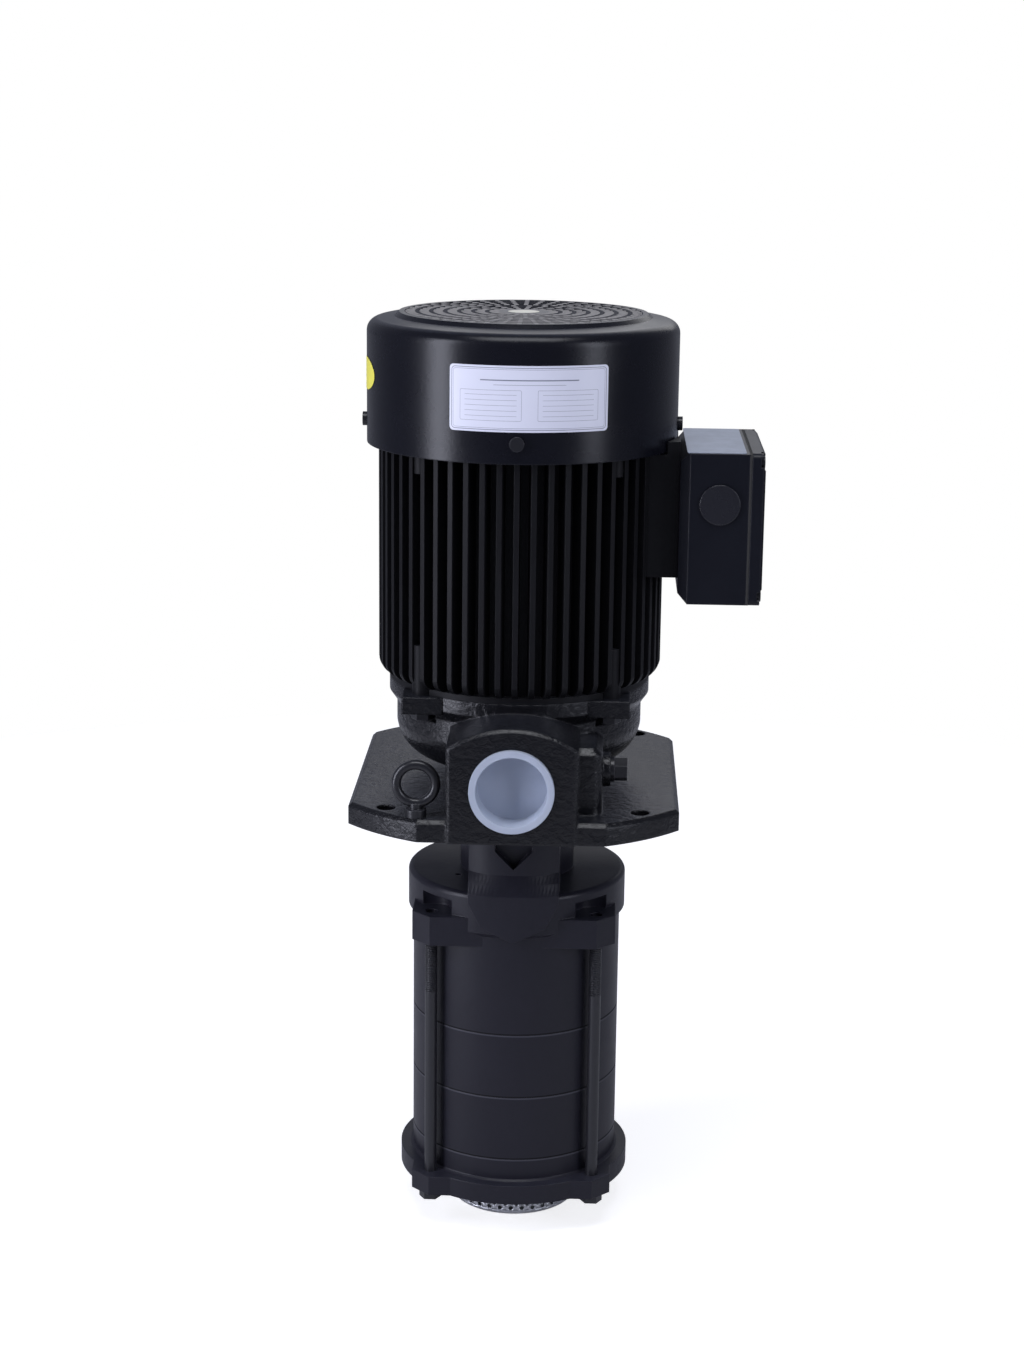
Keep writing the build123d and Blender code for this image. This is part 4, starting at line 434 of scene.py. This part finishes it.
dress(lamination, "rotor_core", "stator_core")
dress(cast_aluminium, "rotor_end_rings")
dress(bronze, "impeller_1", "impeller_2", "impeller_3", "wear_ring_1", "wear_ring_2", "wear_ring_3",
      "throttle_bush", "terminal_studs")
dress(copper, "stator_windings")


def moulded(name, colour, rough, radius, specular=0.4):
    """Moulded rubber, plastic or ceramic with a faint mottle."""
    finish, tree, shader = new_finish(name)
    edge = place(tree, soft_edge, Radius=radius)
    skin = place(tree, casting_skin, Lump_Scale=350, Lump_Height=0.00003, Grit_Scale=1600,
                 Grit_Height=0.00002)
    dark = tuple(0.75 * part for part in colour[:3]) + (1,)
    tree.links.new(mixed(tree, skin["Mottle"], dark, colour), shader.inputs["Base Color"])
    tree.links.new(calc(tree, "MULTIPLY_ADD", skin["Mottle"], 0.15, rough), shader.inputs["Roughness"])
    tree.links.new(add(tree, "ShaderNodeBump", Distance=1.0, Height=skin["Height"],
                       Normal=edge["Normal"]).outputs[0], shader.inputs["Normal"])
    shader.inputs["Specular IOR Level"].default_value = specular
    return finish


fan_plastic = moulded("fan_plastic", (0.035, 0.035, 0.038, 1), 0.42, 0.0006)
seal_rubber = moulded("seal_rubber", (0.022, 0.022, 0.022, 1), 0.60, 0.0004, 0.3)
gasket_sheet = moulded("gasket_sheet", (0.035, 0.034, 0.033, 1), 0.65, 0.0003, 0.3)
ceramic = moulded("ceramic_ring", (0.83, 0.81, 0.75, 1), 0.14, 0.0004, 0.5)
dress(fan_plastic, "cooling_fan", "terminal_block")
dress(seal_rubber, "seal_head", "slinger")
dress(gasket_sheet, "column_gasket", "box_gasket")
dress(ceramic, "seal_seat")


# ---- Motor frame and end shield
# Die-cast aluminium with 54 upright fins, dipped in black paint that leaves the fins near black.
frame_paint = painted("frame_black", (0.0052, 0.0052, 0.0062, 1), 0.50, 0.16, 0.0, 0.0006,
                      (240, 0.00010, 1200, 0.00004), wear=0.08, dust_and_sheen=0.04, variation=0.3)
dress(frame_paint, "motor_frame", "end_shield")


# ---- Fan cover
# Deep-drawn steel sheet, powder coated: satin black with a faint orange peel.
# The short webs of the grille are coloured pale, while the rings between them stay black.
grille_webs, given, result = start_effect(
    "grille_webs", [("First Radius", VALUE, 0.016), ("Pitch", VALUE, 0.0089), ("Slot Width", VALUE, 0.006),
                    ("Last Radius", VALUE, 0.076), ("Above", VALUE, 0.316)],
    [("Webs", VALUE), ("Disc", VALUE)])
at = add(grille_webs, "ShaderNodeSeparateXYZ",
         Vector=add(grille_webs, "ShaderNodeTexCoord").outputs["Object"]).outputs
radius = calc(grille_webs, "SQRT", calc(grille_webs, "ADD", calc(grille_webs, "MULTIPLY", at["X"], at["X"]),
                                        calc(grille_webs, "MULTIPLY", at["Y"], at["Y"])))
into_row = calc(grille_webs, "FLOORED_MODULO", calc(grille_webs, "SUBTRACT", radius, given["First Radius"]),
                given["Pitch"])
in_slot = calc(grille_webs, "LESS_THAN", into_row, given["Slot Width"])
on_disc = calc(grille_webs, "MULTIPLY", calc(grille_webs, "LESS_THAN", radius, given["Last Radius"]),
               calc(grille_webs, "GREATER_THAN", radius, given["First Radius"]))
on_top = calc(grille_webs, "MULTIPLY", on_disc, calc(grille_webs, "GREATER_THAN", at["Z"], given["Above"]))
grille_webs.links.new(calc(grille_webs, "MULTIPLY", in_slot, on_top), result["Webs"])
grille_webs.links.new(on_top, result["Disc"])

cover_paint = painted("cover_satin_black", (0.0040, 0.0042, 0.0070, 1), 0.27, 0.26, 0.0, 0.0010,
                      (420, 0.000035, 1600, 0.000008), wear=0.06, dust_and_sheen=0.12, variation=0.2)
tree = cover_paint.node_tree
shader = tree.nodes["Principled BSDF"]
paint = shader.inputs["Base Color"].links[0].from_socket
grille = place(tree, grille_webs)
tree.links.new(mixed(tree, grille["Webs"], paint, (0.30, 0.29, 0.28, 1)), shader.inputs["Base Color"])
satin = shader.inputs["Roughness"].links[0].from_socket
tree.links.new(calc(tree, "MULTIPLY_ADD", grille["Disc"], 0.45, satin), shader.inputs["Roughness"])
dress(cover_paint, "fan_cover")


# ---- Stickers on the fan cover
# A blank ruled form of white film at the front and a blank yellow oval at the side, both bare of words.
def film_on_cover(name, low_turn, high_turn, low_z, high_z, oval=False):
    """A patch of film wrapped on the cover's wall; turns are from -Y towards +X. UV runs in millimetres."""
    radius = 0.10025
    form = bmesh.new()
    across, up = 36, 12
    uv = form.loops.layers.uv.new("film")
    rows = []
    for j in range(up + 1):
        row = []
        for i in range(across + 1):
            s, t = i / across, j / up
            if oval:
                x, y = 2 * s - 1, 2 * t - 1
                s = 0.5 + 0.5 * x * (1 - y * y / 2) ** 0.5
                t = 0.5 + 0.5 * y * (1 - x * x / 2) ** 0.5
            turn = low_turn + (high_turn - low_turn) * s
            vert = form.verts.new((radius * sin(turn), -radius * cos(turn), low_z + (high_z - low_z) * t))
            row.append((vert, (radius * 1000 * (high_turn - low_turn) * s, (high_z - low_z) * 1000 * t)))
        rows.append(row)
    for j in range(up):
        for i in range(across):
            ring = (rows[j][i], rows[j][i + 1], rows[j + 1][i + 1], rows[j + 1][i])
            face = form.faces.new([vert for vert, _ in ring])
            for loop, (_, place_on_film) in zip(face.loops, ring):
                loop[uv].uv = place_on_film
    mesh = bpy.data.meshes.new(name)
    form.to_mesh(mesh)
    form.free()
    mesh.shade_smooth()
    return mesh


# A thin dark line at a distance inside a rounded rectangle, from places in millimetres.
ruled_frame, given, result = start_effect(
    "ruled_frame", [("Centre X", VALUE, 0.0), ("Centre Y", VALUE, 0.0), ("Half Width", VALUE, 10.0),
                    ("Half Height", VALUE, 5.0), ("Corner", VALUE, 1.0), ("Line", VALUE, 0.3)],
    [("Mask", VALUE), ("Inside", VALUE)])
sides = add(ruled_frame, "ShaderNodeSeparateXYZ",
            Vector=add(ruled_frame, "ShaderNodeUVMap", {"uv_map": "film"}).outputs[0]).outputs
overs = []
for axis, centre, half in (("X", "Centre X", "Half Width"), ("Y", "Centre Y", "Half Height")):
    away = calc(ruled_frame, "ABSOLUTE", calc(ruled_frame, "SUBTRACT", sides[axis], given[centre]))
    overs.append(calc(ruled_frame, "ADD", calc(ruled_frame, "SUBTRACT", away, given[half]), given["Corner"]))
outer = [calc(ruled_frame, "MAXIMUM", over, 0.0) for over in overs]
corner = calc(ruled_frame, "SQRT", calc(ruled_frame, "ADD", calc(ruled_frame, "MULTIPLY", outer[0], outer[0]),
                                       calc(ruled_frame, "MULTIPLY", outer[1], outer[1])))
within = calc(ruled_frame, "MINIMUM", calc(ruled_frame, "MAXIMUM", overs[0], overs[1]), 0.0)
distance = calc(ruled_frame, "SUBTRACT", calc(ruled_frame, "ADD", corner, within), given["Corner"])
ruled_frame.links.new(calc(ruled_frame, "LESS_THAN", calc(ruled_frame, "ABSOLUTE", distance), given["Line"]),
                      result["Mask"])
ruled_frame.links.new(calc(ruled_frame, "LESS_THAN", distance, 0.0), result["Inside"])


def film_finish(name, colour, rough):
    """Printed plastic film, and its tree for the print."""
    finish, tree, shader = new_finish(name)
    soil = place(tree, casting_skin, Lump_Scale=45, Lump_Height=0.00002, Grit_Scale=900, Grit_Height=0.000004)
    soiled = mixed(tree, calc(tree, "MULTIPLY", soil["Mottle"], 0.25), colour,
                   tuple(0.7 * part for part in colour[:3]) + (1,))
    tree.links.new(calc(tree, "MULTIPLY_ADD", soil["Mottle"], 0.1, rough), shader.inputs["Roughness"])
    tree.links.new(add(tree, "ShaderNodeBump", Distance=1.0, Height=soil["Height"]).outputs[0],
                   shader.inputs["Normal"])
    return finish, tree, shader, soiled


form_turns = (-0.4260, 0.5760)
form_heights = (0.2540, 0.2943)
form_mesh = film_on_cover("blank_form_sticker", *form_turns, *form_heights)
width = 100.25 * (form_turns[1] - form_turns[0])
tall = 1000 * (form_heights[1] - form_heights[0])
form_film, tree, shader, paper = film_finish("form_sticker_film", (0.70, 0.71, 0.80, 1), 0.30)
ink = (0.18, 0.19, 0.24, 1)
cut = place(tree, ruled_frame, Centre_X=width / 2, Centre_Y=tall / 2, Half_Width=width / 2,
            Half_Height=tall / 2, Corner=2.5, Line=0.0)["Inside"]
tree.links.new(cut, shader.inputs["Alpha"])
frames = [(width / 2, tall / 2, width / 2 - 1.4, tall / 2 - 1.4, 2.2, 0.20),
          (width / 2, tall / 2, width / 2 - 2.4, tall / 2 - 2.4, 1.6, 0.10),
          (width * 0.26, tall * 0.40, width * 0.19, tall * 0.23, 0.8, 0.09),
          (width * 0.74, tall * 0.40, width * 0.19, tall * 0.23, 0.8, 0.09)]
for part in (0.26, 0.74):
    frames += [(width * part, tall * (0.24 + 0.08 * rule), width * 0.16, 0.0, 0.0, 0.09) for rule in range(5)]
frames += [(width / 2, tall * 0.78, width * 0.30, 0.0, 0.0, 0.35),
           (width / 2, tall * 0.71, width * 0.22, 0.0, 0.0, 0.12)]
for x, y, half_width, half_height, round_corner, line in frames:
    mask = place(tree, ruled_frame, Centre_X=x, Centre_Y=y, Half_Width=half_width, Half_Height=half_height,
                 Corner=round_corner, Line=line)["Mask"]
    paper = mixed(tree, mask, paper, ink)
tree.links.new(paper, shader.inputs["Base Color"])
new_piece("blank_form_sticker", form_mesh, form_film, "pump_body", "plug_plastic")

oval_mesh = film_on_cover("blank_oval_sticker", -1.62, -1.16, 0.2686, 0.2892, oval=True)
oval_film, tree, shader, yellow = film_finish("oval_sticker_film", (0.85, 0.78, 0.10, 1), 0.32)
tree.links.new(yellow, shader.inputs["Base Color"])
new_piece("blank_oval_sticker", oval_mesh, oval_film, "pump_body", "plug_plastic")

hub_mesh = bpy.data.meshes.new("blank_hub_sticker")
form = bmesh.new()
bmesh.ops.create_circle(form, cap_ends=True, segments=64, radius=0.0100,
                        matrix=Matrix.Translation((0, 0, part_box("fan_cover")[1].z + 0.0001)))
form.to_mesh(hub_mesh)
form.free()
hub_film, tree, shader, cream = film_finish("hub_sticker_film", (0.72, 0.70, 0.60, 1), 0.34)
tree.links.new(cream, shader.inputs["Base Color"])
new_piece("blank_hub_sticker", hub_mesh, hub_film, "pump_body", "plug_plastic")


# ---- Terminal box
# Small aluminium casting with a screwed lid and a blanked cable entry, in satin black paint.
# A bare plate of bright aluminium foil lies on its top.
box_paint = painted("box_satin_black", (0.0050, 0.0055, 0.0090, 1), 0.34, 0.24, 0.0, 0.0010,
                    (300, 0.00005, 1300, 0.00002), wear=0.10, dust_and_sheen=0.06, variation=0.25)
dress(box_paint, "terminal_box", "box_lid")
entry_plastic = moulded("entry_plastic", (0.012, 0.012, 0.016, 1), 0.20, 0.0012, 0.5)
dress(entry_plastic, "entry_plug")


def plate_mesh():
    """A thin plate with rounded corners on the box's top."""
    low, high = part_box("terminal_box")
    margin, corner, thick = 0.0020, 0.0020, 0.0004
    x0, x1, y0, y1 = low.x + 0.004, high.x - margin, low.y + margin, high.y - margin
    form = bmesh.new()
    outline = []
    for cx, cy, start in ((x1, y1, 0), (x0, y1, 1), (x0, y0, 2), (x1, y0, 3)):
        sx = -1 if cx == x1 else 1
        sy = -1 if cy == y1 else 1
        for step in range(5):
            angle = (start + step / 4) * pi / 2
            outline.append(form.verts.new((cx + sx * corner + corner * cos(angle),
                                           cy + sy * corner + corner * sin(angle), high.z + thick)))
    top = form.faces.new(outline)
    raised = bmesh.ops.extrude_face_region(form, geom=[top])
    for item in raised["geom"]:
        if isinstance(item, bmesh.types.BMVert):
            item.co.z = high.z
    bmesh.ops.recalc_face_normals(form, faces=form.faces)
    mesh = bpy.data.meshes.new("blank_rating_plate")
    form.to_mesh(mesh)
    form.free()
    return mesh


foil = steel("plate_foil", (0.50, 0.55, 0.66, 1), 0.46, 60.0, 0.000004, "Y")
new_piece("blank_plate", plate_mesh(), foil, "pump_body", "aluminium_casting")


# ---- Floor, light and camera
# A pale round sheet under the pump, a bright backdrop far behind it, two tall softboxes and one above.
floor_radius = 1.3
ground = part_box("strainer")[0].z
form = bmesh.new()
bmesh.ops.create_circle(form, cap_ends=True, segments=128, radius=floor_radius,
                        matrix=Matrix.Translation((0, 0, ground)))
floor_mesh = bpy.data.meshes.new("floor")
form.to_mesh(floor_mesh)
form.free()
floor = bpy.data.objects.new("floor", floor_mesh)
bpy.context.scene.collection.objects.link(floor)
floor_paper, tree, shader = new_finish("floor_paper")
shader.inputs["Base Color"].default_value = (0.60, 0.60, 0.62, 1)
shader.inputs["Roughness"].default_value = 0.8
shader.inputs["Specular IOR Level"].default_value = 0.1
rays = add(tree, "ShaderNodeLightPath").outputs
seen = calc(tree, "ADD", calc(tree, "ADD", rays["Is Camera Ray"], rays["Is Transmission Ray"]),
            calc(tree, "MULTIPLY", rays["Is Glossy Ray"], 0.05), clamp=True)
shader.inputs["Emission Color"].default_value = (1, 1, 1, 1)
tree.links.new(calc(tree, "MULTIPLY", seen, 0.75), shader.inputs["Emission Strength"])
floor_mesh.materials.append(floor_paper)

world = bpy.data.worlds.new("studio")
bpy.context.scene.world = world
world.use_nodes = True
tree = world.node_tree
backing = tree.nodes["Background"]
rays = add(tree, "ShaderNodeLightPath").outputs
outward = add(tree, "ShaderNodeTexCoord").outputs["Generated"]
toward = add(tree, "ShaderNodeSeparateXYZ", Vector=outward).outputs
behind = calc(tree, "MULTIPLY_ADD", toward["Y"], 0.12, -0.02, clamp=True)
seen = calc(tree, "ADD", calc(tree, "ADD", rays["Is Camera Ray"], rays["Is Transmission Ray"]),
            calc(tree, "MULTIPLY", rays["Is Glossy Ray"], behind), clamp=True)
tree.links.new(mixed(tree, seen, (0.13, 0.14, 0.19, 1), (1, 1, 1, 1)), backing.inputs["Color"])

lamps = [("softbox_left", (-1.25, -0.75, 0.35), (0.45, 1.5), 21, (0.84, 0.86, 1.0)),
         ("softbox_right", (1.35, -1.00, 0.55), (0.45, 1.2), 10, (0.84, 0.87, 1.0)),
         ("softbox_above", (0.0, -0.55, 1.55), (1.1, 0.7), 13, (0.92, 0.94, 1.0)),
         ("softbox_back", (0.3, 1.5, 1.0), (1.2, 0.8), 3, (1.0, 1.0, 1.0))]
for name, at, size, power, tint in lamps:
    lamp = bpy.data.lights.new(name, "AREA")
    lamp.shape = "RECTANGLE"
    lamp.size, lamp.size_y = size
    lamp.energy = power
    lamp.color = tint
    holder = bpy.data.objects.new(name, lamp)
    holder.location = at
    holder.rotation_euler = (Vector((0, 0, 0.05)) - Vector(at)).to_track_quat("-Z", "Y").to_euler()
    bpy.context.scene.collection.objects.link(holder)

swing, pitch, roll = radians(2.0), radians(14.105), radians(0.658)
forward = Vector((-sin(swing) * cos(pitch), cos(swing) * cos(pitch), -sin(pitch)))
level = Vector((cos(swing), sin(swing), 0))
right = level * cos(roll) + level.cross(forward) * sin(roll)
upward = right.cross(forward)
camera = bpy.data.objects.new("camera", bpy.data.cameras.new("camera"))
camera.data.lens = 65.66
camera.data.sensor_width = 36
standpoint = Matrix.Translation((0.05096, -1.59595, 0.4743))
camera.matrix_world = standpoint @ Matrix((right, upward, -forward)).transposed().to_4x4()
bpy.context.scene.collection.objects.link(camera)
bpy.context.scene.camera = camera
bpy.context.scene.view_settings.view_transform = "Standard"
